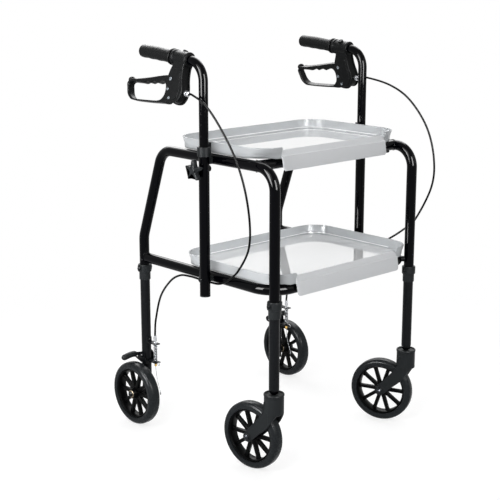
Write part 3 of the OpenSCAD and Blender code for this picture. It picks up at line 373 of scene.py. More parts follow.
# Meshes and materials


def quads(rows, columns, kind, start):
    """Corner numbers of a grid's faces: here, beside, ahead and beside, ahead; what closes wraps round."""
    i = np.arange(rows if kind == "ring" else rows - 1)[:, None]
    j = np.arange(columns - 1 if kind == "sheet" else columns)[None]
    ahead, beside = (i + 1) % rows, (j + 1) % columns
    corners = [i * columns + j, i * columns + beside, ahead * columns + beside, ahead * columns + j]
    return (start + np.stack(corners, -1)).reshape(-1, 4).tolist()


def piece(name, patches, coat, body=None, stands_for=(), sharp=40):
    """Object made of grids. A patch is a grid, closed round its columns and capped at its first and last
    rows, or a pair of a grid and the word ring, which is closed both ways, or sheet, which is closed
    neither way."""
    points, faces, start = [], [], 0
    for patch in patches:
        grid, kind = patch if isinstance(patch, tuple) else (patch, "tube")
        rows, columns = grid.shape[:2]
        faces += quads(rows, columns, kind, start)
        if kind == "tube":
            cap = start + np.arange(columns)
            faces += [cap[::-1].tolist(), (cap + (rows - 1) * columns).tolist()]
        points.append(grid.reshape(-1, 3))
        start += rows * columns
    mesh = bpy.data.meshes.new(name)
    mesh.from_pydata(np.concatenate(points).tolist(), [], faces)
    merged = bmesh.new()
    merged.from_mesh(mesh)
    bmesh.ops.remove_doubles(merged, verts=merged.verts, dist=1e-7)
    bmesh.ops.recalc_face_normals(merged, faces=merged.faces)
    merged.to_mesh(mesh)
    merged.free()
    mesh.set_sharp_from_angle(angle=np.radians(sharp))
    corners = np.empty(len(mesh.polygons), int)
    mesh.polygons.foreach_get("loop_total", corners)
    mesh.polygons.foreach_set("use_smooth", corners < 5)
    mesh.materials.append(coat)
    made = bpy.data.objects.new(name, mesh)
    bpy.context.scene.collection.objects.link(made)
    if body:
        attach(made, body)
    if stands_for:
        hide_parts(*stands_for)
    return made


def tuned(node, **values):
    """Sets a node's inputs by name, with underscores for spaces."""
    for name, value in values.items():
        node.inputs[name.replace("_", " ")].default_value = value
    return node


def finish(name, tint, rough, swing=0.05, cloud=0.12, cloud_scale=30, grain=1200, depth=0.00002,
           pebbles=False, **sockets):
    """Material of one colour that drifts in soft clouds, with a roughness that drifts too and a fine relief.
    The relief is noise or pebbles, of the given scale per metre and depth in metres."""
    made = bpy.data.materials.get(name)
    if made:
        return made
    made = bpy.data.materials.new(name)
    made.use_nodes = True
    made.diffuse_color = (*tint, 1)
    nodes, links = made.node_tree.nodes, made.node_tree.links
    shader = nodes["Principled BSDF"]
    place = nodes.new("ShaderNodeTexCoord").outputs["Object"]
    drift = tuned(nodes.new("ShaderNodeTexNoise"), Scale=cloud_scale, Detail=4.0, Roughness=0.6)
    links.new(place, drift.inputs["Vector"])
    mix = nodes.new("ShaderNodeMix")
    mix.data_type = "RGBA"
    mix.inputs["A"].default_value = (*[c * (1 - cloud) for c in tint], 1)
    mix.inputs["B"].default_value = (*[min(c * (1 + cloud), 1) for c in tint], 1)
    links.new(drift.outputs["Fac"], mix.inputs["Factor"])
    links.new(mix.outputs["Result"], shader.inputs["Base Color"])
    wear = tuned(nodes.new("ShaderNodeTexNoise"), Scale=cloud_scale * 3, Detail=6.0, Roughness=0.65)
    links.new(place, wear.inputs["Vector"])
    spread = tuned(nodes.new("ShaderNodeMapRange"), From_Min=0.3, From_Max=0.7,
                   To_Min=rough - swing, To_Max=rough + swing)
    links.new(wear.outputs["Fac"], spread.inputs["Value"])
    links.new(spread.outputs["Result"], shader.inputs["Roughness"])
    bump = tuned(nodes.new("ShaderNodeBump"), Strength=1.0, Distance=depth)
    if pebbles:
        relief = tuned(nodes.new("ShaderNodeTexVoronoi"), Scale=grain)
        links.new(relief.outputs["Distance"], bump.inputs["Height"])
    else:
        relief = tuned(nodes.new("ShaderNodeTexNoise"), Scale=grain, Detail=3.0)
        links.new(relief.outputs["Fac"], bump.inputs["Height"])
    links.new(place, relief.inputs["Vector"])
    links.new(bump.outputs["Normal"], shader.inputs["Normal"])
    tuned(shader, **sockets)
    return made


def metal(name, tint, rough, cloud, cloud_scale):
    """Bare metal with a fine grain."""
    return finish(name, tint, rough, swing=0.08, cloud=cloud, cloud_scale=cloud_scale, grain=2500,
                  depth=0.00001, Metallic=1.0)


def frame_paint():
    """Gloss black powder coat."""
    return finish("gloss_black_coat", colours().paint, 0.07, swing=0.02, cloud_scale=12, grain=700,
                  depth=0.0000004, Specular_IOR_Level=0.06)


def leg_paint():
    """Satin black coat."""
    return finish("satin_black_coat", colours().satin, 0.3, cloud_scale=25, grain=1500, depth=0.00001,
                  Specular_IOR_Level=0.08)


def moulded():
    """Fine-grained matte black plastic."""
    return finish("grained_black_plastic", colours().moulded, 0.38, swing=0.06, grain=2200, depth=0.00004,
                  Specular_IOR_Level=0.055)


def brake_plastic():
    """Smooth black plastic of the brake housings and levers."""
    return finish("smooth_black_plastic", colours().brake, 0.4, swing=0.05, grain=2000, depth=0.00002,
                  Specular_IOR_Level=0.05)


def grip_rubber():
    """Pebbled black rubber."""
    return finish("pebbled_grip_rubber", colours().rubber, 0.42, swing=0.08, cloud=0.5, cloud_scale=160,
                  grain=330, depth=0.0003, pebbles=True, Specular_IOR_Level=0.05)


def tyre_rubber():
    """Dull tyre rubber with dust."""
    return finish("dull_tyre_rubber", colours().tyre, 0.27, swing=0.06, cloud=0.18, cloud_scale=45,
                  grain=1800, depth=0.00002, Specular_IOR_Level=0.06)


def wheel_plastic():
    """Black wheel plastic."""
    return finish("black_wheel_plastic", colours().wheel, 0.35, grain=1500, depth=0.00002,
                  Specular_IOR_Level=0.04)


def tray_plastic():
    """Light grey tray plastic with a gloss."""
    return finish("light_grey_tray", colours().tray, 0.16, swing=0.03, cloud=0.03, cloud_scale=18, grain=900,
                  depth=0.000004, Specular_IOR_Level=0.1)


def tray_floor_gloss():
    """Polished grey tray floor under a clear coat."""
    return finish("polished_tray_floor", colours().floor, 0.03, swing=0.008, cloud=0.02, cloud_scale=14,
                  grain=900, depth=0.0000005, IOR=1.75, Coat_Weight=1.0, Coat_Roughness=0.03, Coat_IOR=1.75)


def painted_highlight_bead_plastic():
    """Pale polished plastic of the bead along a tray wall; the pale colour is a painted highlight of the line
    of light along the wall's fillet.
    """
    return finish("pale_tray_bead", colours().highlight_bead, 0.15, swing=0.03, cloud=0.12, cloud_scale=90, grain=900,
                  depth=0.000004)


def apron_plastic():
    """Matte light grey lip plastic."""
    return finish("matte_grey_lip", colours().apron, 0.5, swing=0.05, cloud=0.03, cloud_scale=20, grain=1600,
                  depth=0.00003, Specular_IOR_Level=0.3)


def rivet_zinc():
    """Dull zinc of the rivets."""
    return finish("dull_zinc", colours().rivet, 0.5, swing=0.08, cloud=0.15, cloud_scale=200, grain=2500,
                  depth=0.00001, Specular_IOR_Level=0.1)


def cable_sheath():
    """Smooth black cable sheath."""
    return finish("black_cable_sheath", colours().sheath, 0.3, cloud_scale=60, grain=1500, depth=0.00001,
                  Specular_IOR_Level=0.05)


def bright_steel():
    """Zinc plated steel."""
    return metal("bright_zinc", colours().steel, 0.25, 0.1, 200)


def spring_steel():
    """Grey steel of springs and inner wires."""
    return metal("grey_spring_steel", colours().spring, 0.35, 0.15, 200)


def dull_brass():
    """Brass with a dull skin."""
    return metal("dull_brass", colours().brass, 0.34, 0.2, 220)


def bush_metal():
    """Dull sintered metal."""
    return metal("dull_bush_metal", colours().bush, 0.4, 0.25, 300)


def black_steel():
    """Blackened steel of the front axles."""
    return metal("blackened_steel", colours().black_steel, 0.3, 0.2, 220)


def grip_matrix(name, side, tilted=True):
    """Frame of a grip: Y along the tube, Z up, turned on the tube as the lever's axis is."""
    axis = np.array(JOINTS[name + "_lever_pull"]["axis"])
    tilt = np.arctan2(-axis[2] / np.cos(sizes().grip_rise), axis[0]) if tilted else 0
    place = shift(side * POST_X, POST_Y, sizes().handle_corner)
    return place @ Matrix.Rotation(sizes().grip_rise, 4, "X") @ Matrix.Rotation(tilt, 4, "Y")


# One operator for each group of like pieces


class WALKER_OT_tubes(bpy.types.Operator):
    """Bent and straight tubes: side frames, crossbar, lower rail, posts, handle tubes and lower legs"""

    bl_idname = "walker.tubes"
    bl_label = "Frame tubes"

    points, seam_points = 48, 96
    post_bevel, leg_bevel, grip_gap = 0.0006, 0.0005, 0.004
    bar_end_share = 0.6
    bead_r, bead_ripple, ripple_points, bead_across = 0.0016, 0.0002, 6, (0.3, 0.2, 1)
    hole_points = 24
    hole_r = np.array([3.25, 3.25, 2.4, 1.2, 0.1])[:, None] * MM
    hole_out = np.array([-1, 0.1, 0.1, 0.1, 0.1])[:, None] * MM

    def execute(self, context):
        coat = frame_paint()
        for name, side in SIDES:
            self.side_tube(name, side, coat)
            self.straight(name + "_post_tube", name + "_handle_post", (side * POST_X, POST_Y), TUBE_R,
                          self.post_bevel, coat, "frame_gloss_black")
            self.handle(name, side, coat)
            for end, y in (("front", FRONT_Y), ("rear", REAR_Y)):
                node = name + "_" + end + "_leg"
                self.straight(node + "_tube", node, (side * SIDE_X, y), LEG_R, self.leg_bevel, leg_paint(),
                              "leg_satin_black")
        self.lower_rail(coat)
        self.crossbar(coat)
        return {"FINISHED"}

    def side_tube(self, name, side, coat):
        """One tube up the front leg, along the upper rail and down the slanted rear leg, with three bends."""
        size, x = sizes(), side * SIDE_X
        knee_z, bottom = RAIL_Z + size.knee_rise, low("left_side_frame")[2]
        rear_corner = REAR_Y - (TOP_Z - knee_z) * np.tan(size.rear_lean)
        corners = [(x, FRONT_Y, bottom), (x, FRONT_Y, TOP_Z), (x, rear_corner, TOP_Z), (x, REAR_Y, knee_z),
                   (x, REAR_Y, bottom)]
        path = bent_path(corners, (size.front_bend, size.rear_bend, size.knee_bend))
        piece(name + "_side_tube", [sweep(path, ring(self.points, TUBE_R), X_AXIS)], coat, "frame",
              [name + "_side_frame"])

    def straight(self, label, node, place, r, bevel, coat, slot):
        """Upright tube with a thin bevel at its foot, turned from its radius."""
        base, top = low(node)[2], high(node)[2]
        tube = lathe([(r - bevel, base), (r, base + bevel), (r, top)], self.points)
        piece(label, [moved(tube, shift(*place))], coat, "frame", [node])

    def handle(self, name, side, coat):
        """Bent handle tube, and its height holes as dark discs that follow the wall, sqrt(R^2 - y^2): the
        discs are painted shade that stands in for the dark inside of each hole.
        """
        size, node = sizes(), name + "_handle_tube"
        x, base = side * POST_X, low(node)[2]
        corner = np.array((x, POST_Y, size.handle_corner))
        along = np.array((0, np.cos(size.grip_rise), np.sin(size.grip_rise)))
        end = corner + (size.handle_reach - self.grip_gap) * along
        path = bent_path([(x, POST_Y, base), corner, end], (size.handle_bend,))
        piece(name + "_handle_bend", [sweep(path, ring(self.points, HANDLE_R), X_AXIS)], coat,
              name + "_handle", [node])
        # Each height hole is a dark disc a little proud of the wall: painted shade in place of a hole's dark
        # inside.
        a = turn(self.hole_points)
        y, z = self.hole_r * np.cos(a), self.hole_r * np.sin(a)
        out = np.sqrt(HANDLE_R**2 - y**2) + self.hole_out
        hole_shades = []
        for height in size.first_hole + size.hole_pitch * np.arange(size.hole_count):
            hole_shades += [np.stack([x + s * out, POST_Y + y, height + z], -1) for s in (-1, 1)]
        piece(name + "_height_holes", hole_shades, wheel_plastic(), name + "_handle")

    def lower_rail(self, coat):
        """U-shaped rail from one rear leg round the front to the other.
        Its seams follow y = leg - sqrt(R^2 - x^2) round the rail."""
        front, back = low("lower_tray_rail")[1] + TUBE_R, REAR_Y - TUBE_R
        corners = [(-SIDE_X, back, RAIL_Z), (-SIDE_X, front, RAIL_Z), (SIDE_X, front, RAIL_Z),
                   (SIDE_X, back, RAIL_Z)]
        path = bent_path(corners, (sizes().rail_bend, sizes().rail_bend))
        x, z = ring(self.seam_points, TUBE_R).T
        y = REAR_Y - np.sqrt(np.maximum(TUBE_R**2 - x**2, 0))
        seams = [self.weld(np.stack([side * SIDE_X + x, y, RAIL_Z + z], -1)) for _, side in SIDES]
        piece("lower_rail_tube", [sweep(path, ring(self.points, TUBE_R), Z_AXIS)] + seams, coat, "frame",
              ["lower_tray_rail"])

    def crossbar(self, coat):
        """Straight bar between the side tubes. Its seams follow x = side - sqrt(R^2 - z^2) round the bar."""
        bar_y, end = middle("upper_crossbar")[1], SIDE_X - TUBE_R * self.bar_end_share
        path = np.array([(-end, bar_y, TOP_Z), (end, bar_y, TOP_Z)])
        y, z = ring(self.seam_points, TUBE_R).T
        x = SIDE_X - np.sqrt(np.maximum(TUBE_R**2 - z**2, 0))
        seams = [self.weld(np.stack([side * x, bar_y + y, TOP_Z + z], -1)) for _, side in SIDES]
        piece("upper_crossbar_tube", [sweep(path, ring(self.points, TUBE_R), Z_AXIS)] + seams, coat, "frame",
              ["upper_crossbar"])

    def weld(self, path):
        """Weld bead along a closed seam: a cord whose radius ripples as a sine."""
        ripple = self.bead_r + self.bead_ripple * np.sin(np.arange(len(path)) * TAU / self.ripple_points)
        return sweep(path, ripple[:, None, None] * ring(10), self.bead_across, closed=True), "ring"


class WALKER_OT_trays(bpy.types.Operator):
    """Trays: a flared rim with raised front corners, a polished floor, a front wall and a hanging apron"""

    bl_idname = "walker.trays"
    bl_label = "Trays"

    flare, wall, floor_t, foot_r = 0.0042, 0.0032, 0.0034, 0.006
    wall_rise = np.array([1.6, 3, 7.2, 8.6, 12, 16]) * MM
    outer_edge = np.array([(0, -1.6), (0.8, -0.6)]) * MM
    waist, draft, top_gap, foot_gap, floor_lap = 0.0078, 1 / 30, 0.0008, 0.0004, 0.0002
    corner_lift, lift_shares = 0.0036, (1, 1, 0.9, 0.75)
    arch_from, arch_to = (0.012, 0.04), (0.06, 0.1)
    foot_lift, foot_reach = 0.0026, 0.009
    end_r, end_share, end_above = 0.004, 0.84, 0.004
    rim_start, near_run, far_from, far_to, pitch = 0.003, 0.006, 0.009, 0.008, 0.0032
    bead_rise, bead_in, bead_r, bead_from = 0.0034, 0.0006, 0.0011, 0.11
    floor_in, floor_front, floor_corner, floor_edge = 0.008, 0.0035, 0.083, 0.0004
    apron_out, lip_half, wall_trim = 0.006, 0.1725, 0.0006
    lip_run, lip_straight = 0.012, 0.014
    up_from, up_share, up_r = 0.0033, 0.6, 0.011
    down_from, down_share, down_r = -0.005, 0.26, 0.008
    front_wall = np.array([
        (0.8, 0.5), (1.6, 3.2), (6.4, 14.2), (7.6, 15.2), (9.4, 14.8), (10, 13), (10.6, 2.6), (11.6, 0.9),
        (14, 0.1), (14, -3.3), (3.2, -3.4), (1.2, -2.4)]) * MM
    apron = np.array([
        (2, 1.9), (1.4, 2.7), (0.3, 3.1), (-0.8, 2.7), (-1.5, 1.7), (-1.5, 0.5), (-1.2, -1.6), (-5.9, -30),
        (-5.4, -30.8), (-4.6, -31), (-3.6, -30.4), (1.6, -4.2), (2.2, -1)]) * MM

    def execute(self, context):
        apron = self.lip(self.apron, self.lip_half)
        front = self.lip(self.front_wall, self.lip_half - self.wall_trim)
        for name in ("upper", "lower"):
            node, body = name + "_tray", name + "_tray_body"
            lo, hi = low(node), high(node)
            ridge_y = lo[1] + self.apron_out
            half, depth = hi[0], hi[1] - ridge_y
            origin = np.array((0, ridge_y, hi[2] - sizes().tray_rim))
            piece(node + "_rim", [self.rim(half, depth) + origin], tray_plastic(), body, [node],
                  sharp=50)
            piece(node + "_floor", [self.floor(half, depth) + origin], tray_floor_gloss(), body)
            # The bead carries a painted highlight: pale plastic in place of the line of light along the
            # wall's fillet.
            piece(node + "_bead", [self.highlight_bead(half, depth) + origin], painted_highlight_bead_plastic(), body)
            piece(node + "_apron", [apron + origin, front + origin], apron_plastic(), body,
                  sharp=50)
        return {"FINISHED"}

    def rim_path(self, half, depth):
        """Outer edge of the rim from one end by the lip round to the other, with close points near the ends,
        and each point's distance along it from the nearer end."""
        r = sizes().tray_corner
        start = half - r - self.rim_start
        corners = [(start, 0, 0), (half, 0, 0), (half, depth, 0), (-half, depth, 0), (-half, 0, 0),
                   (-start, 0, 0)]
        path = bent_path(corners, (r, r, r, r), 0.002)
        along = np.concatenate([[0], np.cumsum(np.linalg.norm(np.diff(path, axis=0), axis=1))])
        near = self.near_run * (1 - np.cos(np.linspace(0, np.pi / 2, 10)))
        far = np.arange(self.far_from, along[-1] - self.far_to, self.pitch)
        at = np.concatenate([near, far, along[-1] - near[::-1]])
        path = np.stack([np.interp(at, along, path[:, k]) for k in range(3)], -1)
        return path, np.minimum(at, along[-1] - at)

    def rim_section(self):
        """Section of the rim as pairs of height and distance outwards: an outer face that leans out above its
        waist, a half circle on top, the same face a wall further in, and a quarter circle at the foot."""
        h, r, flare = sizes().tray_rim, self.wall / 2, self.flare
        rise = np.append(self.wall_rise, h - r - self.top_gap)
        lean = np.clip((rise - self.waist) / (h - r - self.waist), 0, 1)
        out = -flare * (1 - lean) - self.draft * np.maximum(self.waist - rise, 0)
        edge = self.outer_edge - (self.floor_t, flare)
        a = np.linspace(0, np.pi, 9)
        top = np.stack([h - r + r * np.sin(a), -r + r * np.cos(a)], -1)
        inner_face = np.stack([rise, out - self.wall], -1)[:1:-1]
        a = np.linspace(0, np.pi / 2, 9)
        inner = -flare - self.wall
        foot_rise = self.floor_lap + self.foot_r * (1 - np.sin(a))
        foot = np.stack([foot_rise, inner - self.foot_r * (1 - np.cos(a))], -1)
        reach = inner - self.foot_r - self.foot_gap
        under = [(self.floor_lap, reach), (-self.floor_t, reach)]
        return np.concatenate([edge, np.stack([rise, out], -1), top, inner_face, foot, under])

    def rim(self, half, depth):
        """Rim wall: its section carried along its edge. By the front corners a smooth arch lifts the lower
        edge off the rail and takes the foot further in, and the ends are rounded by a quarter circle."""
        path, end = self.rim_path(half, depth)
        sections = np.repeat(self.rim_section()[None], len(path), 0)
        arch = (ramp(end, *self.arch_from) * (1 - ramp(end, *self.arch_to)))[:, None]
        sections[:, :4, 0] += self.corner_lift * arch * self.lift_shares
        sections[:, -1, 0] += self.foot_lift * arch[:, 0]
        sections[:, -2:, 1] -= self.foot_reach * arch
        rise = sections[..., 0]
        height = self.end_share + (1 - self.end_share) * quarter_arc(end, self.end_r)
        sections[..., 0] = np.where(rise > self.end_above, rise * height[:, None], rise)
        return sweep(path, sections, Z_AXIS)

    def highlight_bead(self, half, depth):
        """Thin raised cord along the fillet of the wall, from one side round the back to the other, coloured
        pale as a painted highlight of the fillet's line of light.
        """
        path, end = self.rim_path(half, depth)
        at = np.array((self.bead_rise, -self.flare - self.wall - self.bead_in))
        return sweep(path, at + ring(8, self.bead_r), Z_AXIS)[end > self.bead_from]

    def floor(self, half, depth):
        """Floor plate inside the rim, with rounded corners, wider ones at the front."""
        r, wide, front = sizes().tray_corner - self.floor_in, self.floor_corner, self.floor_front
        x, back = half - self.floor_in, depth - self.floor_in
        corners = [(0, front, 0), (x, front, 0), (x, back, 0), (-x, back, 0), (-x, front, 0), (0, front, 0)]
        path = bent_path(corners, (wide, r, r, wide), 0.003)[:-1, :2]
        return plate(path, SEAT_GAP - self.floor_t, 0, self.floor_edge, 3)[..., [1, 2, 0]]

    def lip(self, profile, half):
        """Profile in Y and Z carried along X, its upper and lower edges drawn in along arcs at the ends."""
        ends = half - self.lip_run * (1 - np.cos(np.linspace(0, np.pi / 2, 14)))
        straight = half - self.lip_straight
        x = np.concatenate([-ends, np.linspace(-straight, straight, 24), ends[::-1]])[:, None]
        inside = half - np.abs(x)
        up = 1 - self.up_share * (1 - quarter_arc(inside, self.up_r))
        down = 1 - self.down_share * (1 - quarter_arc(inside, self.down_r))
        y, z = profile.T
        scale = np.where(z > self.up_from, up, np.where(z < self.down_from, down, 1))
        return np.stack([x + 0 * scale, y * scale, z * scale], -1)


class WALKER_OT_grips(bpy.types.Operator):
    """Handle tubes' grips: a pebbled body with a palm swell, finger waves and a front flange"""

    bl_idname = "walker.grips"
    bl_label = "Grips"

    start, end, radius, lap = 0.1, 0.2165, 0.0157, 0.002
    palm_share, palm_width, fingers, finger_share = 0.55, 0.3, 4, 0.5
    straight_end = 0.007
    end_steps = np.array([6.2, 5.4, 4.8, 4.2, 3, 1.6, 0.8, 0.3, 0]) * MM
    bevel_at = np.array([0, 0.3, 0.8, 4.2, 5.4, 6.2]) * MM
    bevel_shares = (0.66, 0.69, 0.72, 0.955, 0.99, 1)
    flange_front = np.array([(19, 0), (19, 4.2)]) * MM
    flange_back = np.array([(1, 6.5), (-2, 9)]) * MM

    def execute(self, context):
        for name, side in SIDES:
            place = grip_matrix(name, side, tilted=False) @ Matrix.Rotation(-np.pi / 2, 4, "X")
            piece(name + "_grip_sleeve", placed([self.sleeve(), self.flange()], place), grip_rubber(),
                  name + "_handle", [name + "_grip"])
        return {"FINISHED"}

    def sleeve(self):
        """Radius r(s, a): base + palm swell on top + four finger waves below, with a bevelled end."""
        bulge, length = sizes().grip_bulge, self.end - self.start - self.lap
        h = np.concatenate([np.linspace(0, length - self.straight_end, 70), length - self.end_steps])[:, None]
        a, s = turn(72)[None], h / length
        under, over = np.clip(np.sin(a), 0, 1) ** 2, np.clip(-np.sin(a), 0, 1) ** 2
        palm = bell(s, self.palm_share, self.palm_width)
        waves = 0.5 - 0.5 * np.cos(TAU * self.fingers * s)
        bevel = np.interp(length - h, self.bevel_at, self.bevel_shares)
        r = (self.radius - bulge + bulge * (over * palm + self.finger_share * under * waves)) * bevel
        return np.stack([r * np.cos(a), r * np.sin(a), self.start + self.lap + h + 0 * a], -1)

    def flange(self):
        """Front flange turned from a rounded profile."""
        front = np.concatenate([[(HANDLE_R + SEAT_GAP, 0)], self.flange_front])
        profile = np.concatenate([front, self.flange_back + (self.radius, 0)])
        return turned(profile + (0, self.start), 0.0014, 64)


class WALKER_OT_brake_housings(bpy.types.Operator):
    """Brake housings: a clamp ring with its button, two cheeks and a core, with rivets and cable adjuster"""

    bl_idname = "walker.brake_housings"
    bl_label = "Brake housings"

    ring_from, ring_to, ring_r = 0.044, 0.097, 0.017
    ring_front = np.array([(-1, 0), (0.4, 2), (0.4, 6), (-0.6, 8)]) * MM
    ring_back = np.array([(-0.6, -9), (1.2, -7), (1.2, -2), (-0.4, 0)]) * MM
    inner_x, outer_x, lap, panel_rise = 0.0104, 0.0134, 0.001, 0.0007
    cheek_edge, thin_edge = 0.0014, 0.0006
    outline = np.array([
        (46, 3), (46, -21), (41, -44), (34, -61), (31, -74), (33, -88), (41, -99), (53, -103), (67, -103),
        (77, -100), (83, -90), (85, -78), (88, -61), (89, -44), (87, -31), (83, -17), (83, 3)]) * MM
    core = np.array([
        (49, 2), (49, -21), (44, -44), (37, -61), (34, -74), (36, -87), (42, -96), (51, -100), (59, -99),
        (52, -84), (51, -52), (53, -34), (59, -30), (81, -29), (82, -15), (82, 2)]) * MM
    panel = np.array([
        (52, -27), (48, -44), (42, -61), (39, -74), (42, -87), (52, -95), (65, -96), (75, -90), (79, -74),
        (82, -52), (80, -31), (67, -25)]) * MM
    pivot_yz = (0.0765, -0.0505)
    rivet_yz = (pivot_yz, (0.0779, -0.0738), (0.0668, -0.0926))
    rivet_d, rivet_h, rivet_seat = (0.0086, 0.0072, 0.0072), 0.0016, 0.0005
    button_y, button_turn, button_sunk = 0.0705, np.radians(14), 0.002
    button_head = np.array([(6.6, 0), (6.6, 4.2), (5.8, 4.8), (3.6, 4.8), (3, 4.2), (0.4, 4.2)]) * MM
    adjuster_yz = (0.0185, -0.0745)
    adjuster_h = np.array([16.5, 14.5, 14, 9.2, 8.6, 8.2, 7.6, 1.6, 0.6, 0])[:, None] * MM
    adjuster_r = np.array([4.8, 5.2, 6.1, 6.3, 5.6, 5.6, 6.2, 6, 4.8, 3.2])[:, None] * MM
    knurl_h, knurls = np.array([0, 0, 0, 0, 0, 0, 0.3, 0.3, 0, 0])[:, None] * MM, 20

    def execute(self, context):
        core_x = self.inner_x + self.lap
        core = plate(smooth_loop(self.core, 4), -core_x, core_x, self.thin_edge)
        cheek = plate(smooth_loop(self.outline, 5), self.inner_x, self.outer_x, self.cheek_edge)
        raised = plate(smooth_loop(self.panel, 5), self.outer_x - self.lap, self.outer_x + self.panel_rise,
                       self.thin_edge)
        for name, side in SIDES:
            place, body = grip_matrix(name, side), name + "_handle"
            shell = [self.clamp_ring(), core, self.button(side)]
            for s in (-1, 1):
                shell += [cheek * (s, 1, 1), raised * (s, 1, 1)]
            piece(name + "_brake_shell", placed(shell, place), brake_plastic(), body,
                  [name + "_brake_housing"])
            piece(name + "_brake_rivets", placed(self.rivets(), place), rivet_zinc(), body)
            piece(name + "_lever_adjuster", [moved(self.adjuster(), place)], bright_steel(), body,
                  [name + "_brake_fittings"])
        return {"FINISHED"}

    def clamp_ring(self):
        """Ring round the handle tube, turned from a profile with a bead at each end."""
        bore, r, start, end = HANDLE_R + SEAT_GAP, self.ring_r, self.ring_from, self.ring_to
        profile = np.concatenate([
            [(bore, start)], self.ring_front + (r, start), self.ring_back + (r, end), [(bore, end)]])
        return moved(turned(profile, 0.001, 64), Matrix.Rotation(-np.pi / 2, 4, "X"))

    def button(self, side):
        """Head of the clamp screw: a low stepped button on the ring, turned towards the walker's middle."""
        lean = Matrix.Rotation(-side * self.button_turn, 4, "Y")
        head = turned(self.button_head + (0, self.ring_r - self.button_sunk), 0.0005, 32)
        return moved(head, shift(0, self.button_y) @ lean)

    def rivets(self):
        """Rivet heads on both cheeks."""
        heads = []
        for s in (-1, 1):
            for (y, z), d in zip(self.rivet_yz, self.rivet_d):
                seat = (s * (self.outer_x + self.rivet_seat), y, z)
                heads.append(moved(dome(d, self.rivet_h), aim(seat, (s, 0, 0))))
        return heads

    def adjuster(self):
        """Knurled cable adjuster along Y: a barrel with a collar, radius r(h) + k(h) cos 20 a."""
        a = turn(72)
        r = self.adjuster_r + self.knurl_h * np.cos(self.knurls * a)
        y, z = self.adjuster_yz
        return np.stack([r * np.cos(a), y + self.adjuster_h + 0 * a, z + r * np.sin(a)], -1)


class WALKER_OT_brake_levers(bpy.types.Operator):
    """Brake levers: a loop of changing thickness with finger scallops and a ball at the end"""

    bl_idname = "walker.brake_levers"
    bl_label = "Brake levers"

    size = (0.153, 0.062)
    droop, half_w, edge_r, edge_share = 0.11, 0.01, 0.0034, 0.85
    centre_share = (0.5, -0.55)
    outer_shares = [
        (-0.05, 0.1), (0, 0.15), (0.13, 0.13), (0.32, 0.05), (0.52, -0.05), (0.8, -0.17), (0.91, -0.19),
        (1, -0.35), (0.97, -0.58), (0.93, -0.79), (0.85, -0.94), (0.76, -0.98), (0.42, -0.95), (0.15, -0.91),
        (0.04, -0.9), (-0.01, -0.85), (-0.04, -0.66), (-0.05, -0.26), (-0.07, -0.02)]
    inner_shares = [
        (0.82, -0.3), (0.72, -0.29), (0.63, -0.29), (0.55, -0.21), (0.48, -0.25),
        (0.4, -0.17), (0.31, -0.21), (0.23, -0.12), (0.16, -0.13), (0.11, -0.26),
        (0.09, -0.48), (0.11, -0.68), (0.19, -0.83), (0.42, -0.89), (0.74, -0.92),
        (0.83, -0.86), (0.89, -0.73), (0.93, -0.55), (0.95, -0.4), (0.91, -0.31)]
    knuckle_share, knuckle_radii = (0.97, -0.35), (0.0092, 0.0082, 0.0082)

    def execute(self, context):
        y, z = np.array(self.knuckle_share) * self.size
        patches = [(self.loop(), "ring"), ball((0, y, z), self.knuckle_radii)]
        for name, side in SIDES:
            place = grip_matrix(name, side) @ shift(0, *WALKER_OT_brake_housings.pivot_yz)
            piece(name + "_lever_loop", placed(patches, place), brake_plastic(), name + "_lever",
                  [name + "_brake_lever"])
        return {"FINISHED"}

    def edge(self, shares, angles):
        """Outline at each angle round the loop's middle, with z lowered by the droop's share of y."""
        p = smooth_loop(shares, 12) - self.centre_share
        a = np.arctan2(p[:, 1], p[:, 0]) % TAU
        order = np.argsort(a)
        reach = np.interp(angles, a[order], np.linalg.norm(p, axis=1)[order], period=TAU)
        way = np.stack([np.cos(angles), np.sin(angles)], -1)
        return (self.centre_share + way * reach[:, None]) @ [(1, -self.droop), (0, 1)] * self.size

    def loop(self):
        """Rounded section between the inner and outer outlines, carried round."""
        angles = turn(220)
        outer, inner = self.edge(self.outer_shares, angles), self.edge(self.inner_shares, angles)
        centre, spoke = (outer + inner) / 2, (outer - inner) / 2
        half = np.linalg.norm(spoke, axis=1)
        edge_r = np.minimum(self.edge_r, half * self.edge_share)
        section = rounded_section(half, np.full(len(half), self.half_w), edge_r, 6)
        flat = centre[:, None] + section[..., :1] * unit(spoke)[:, None]
        return np.concatenate([section[..., 1:], flat], -1)


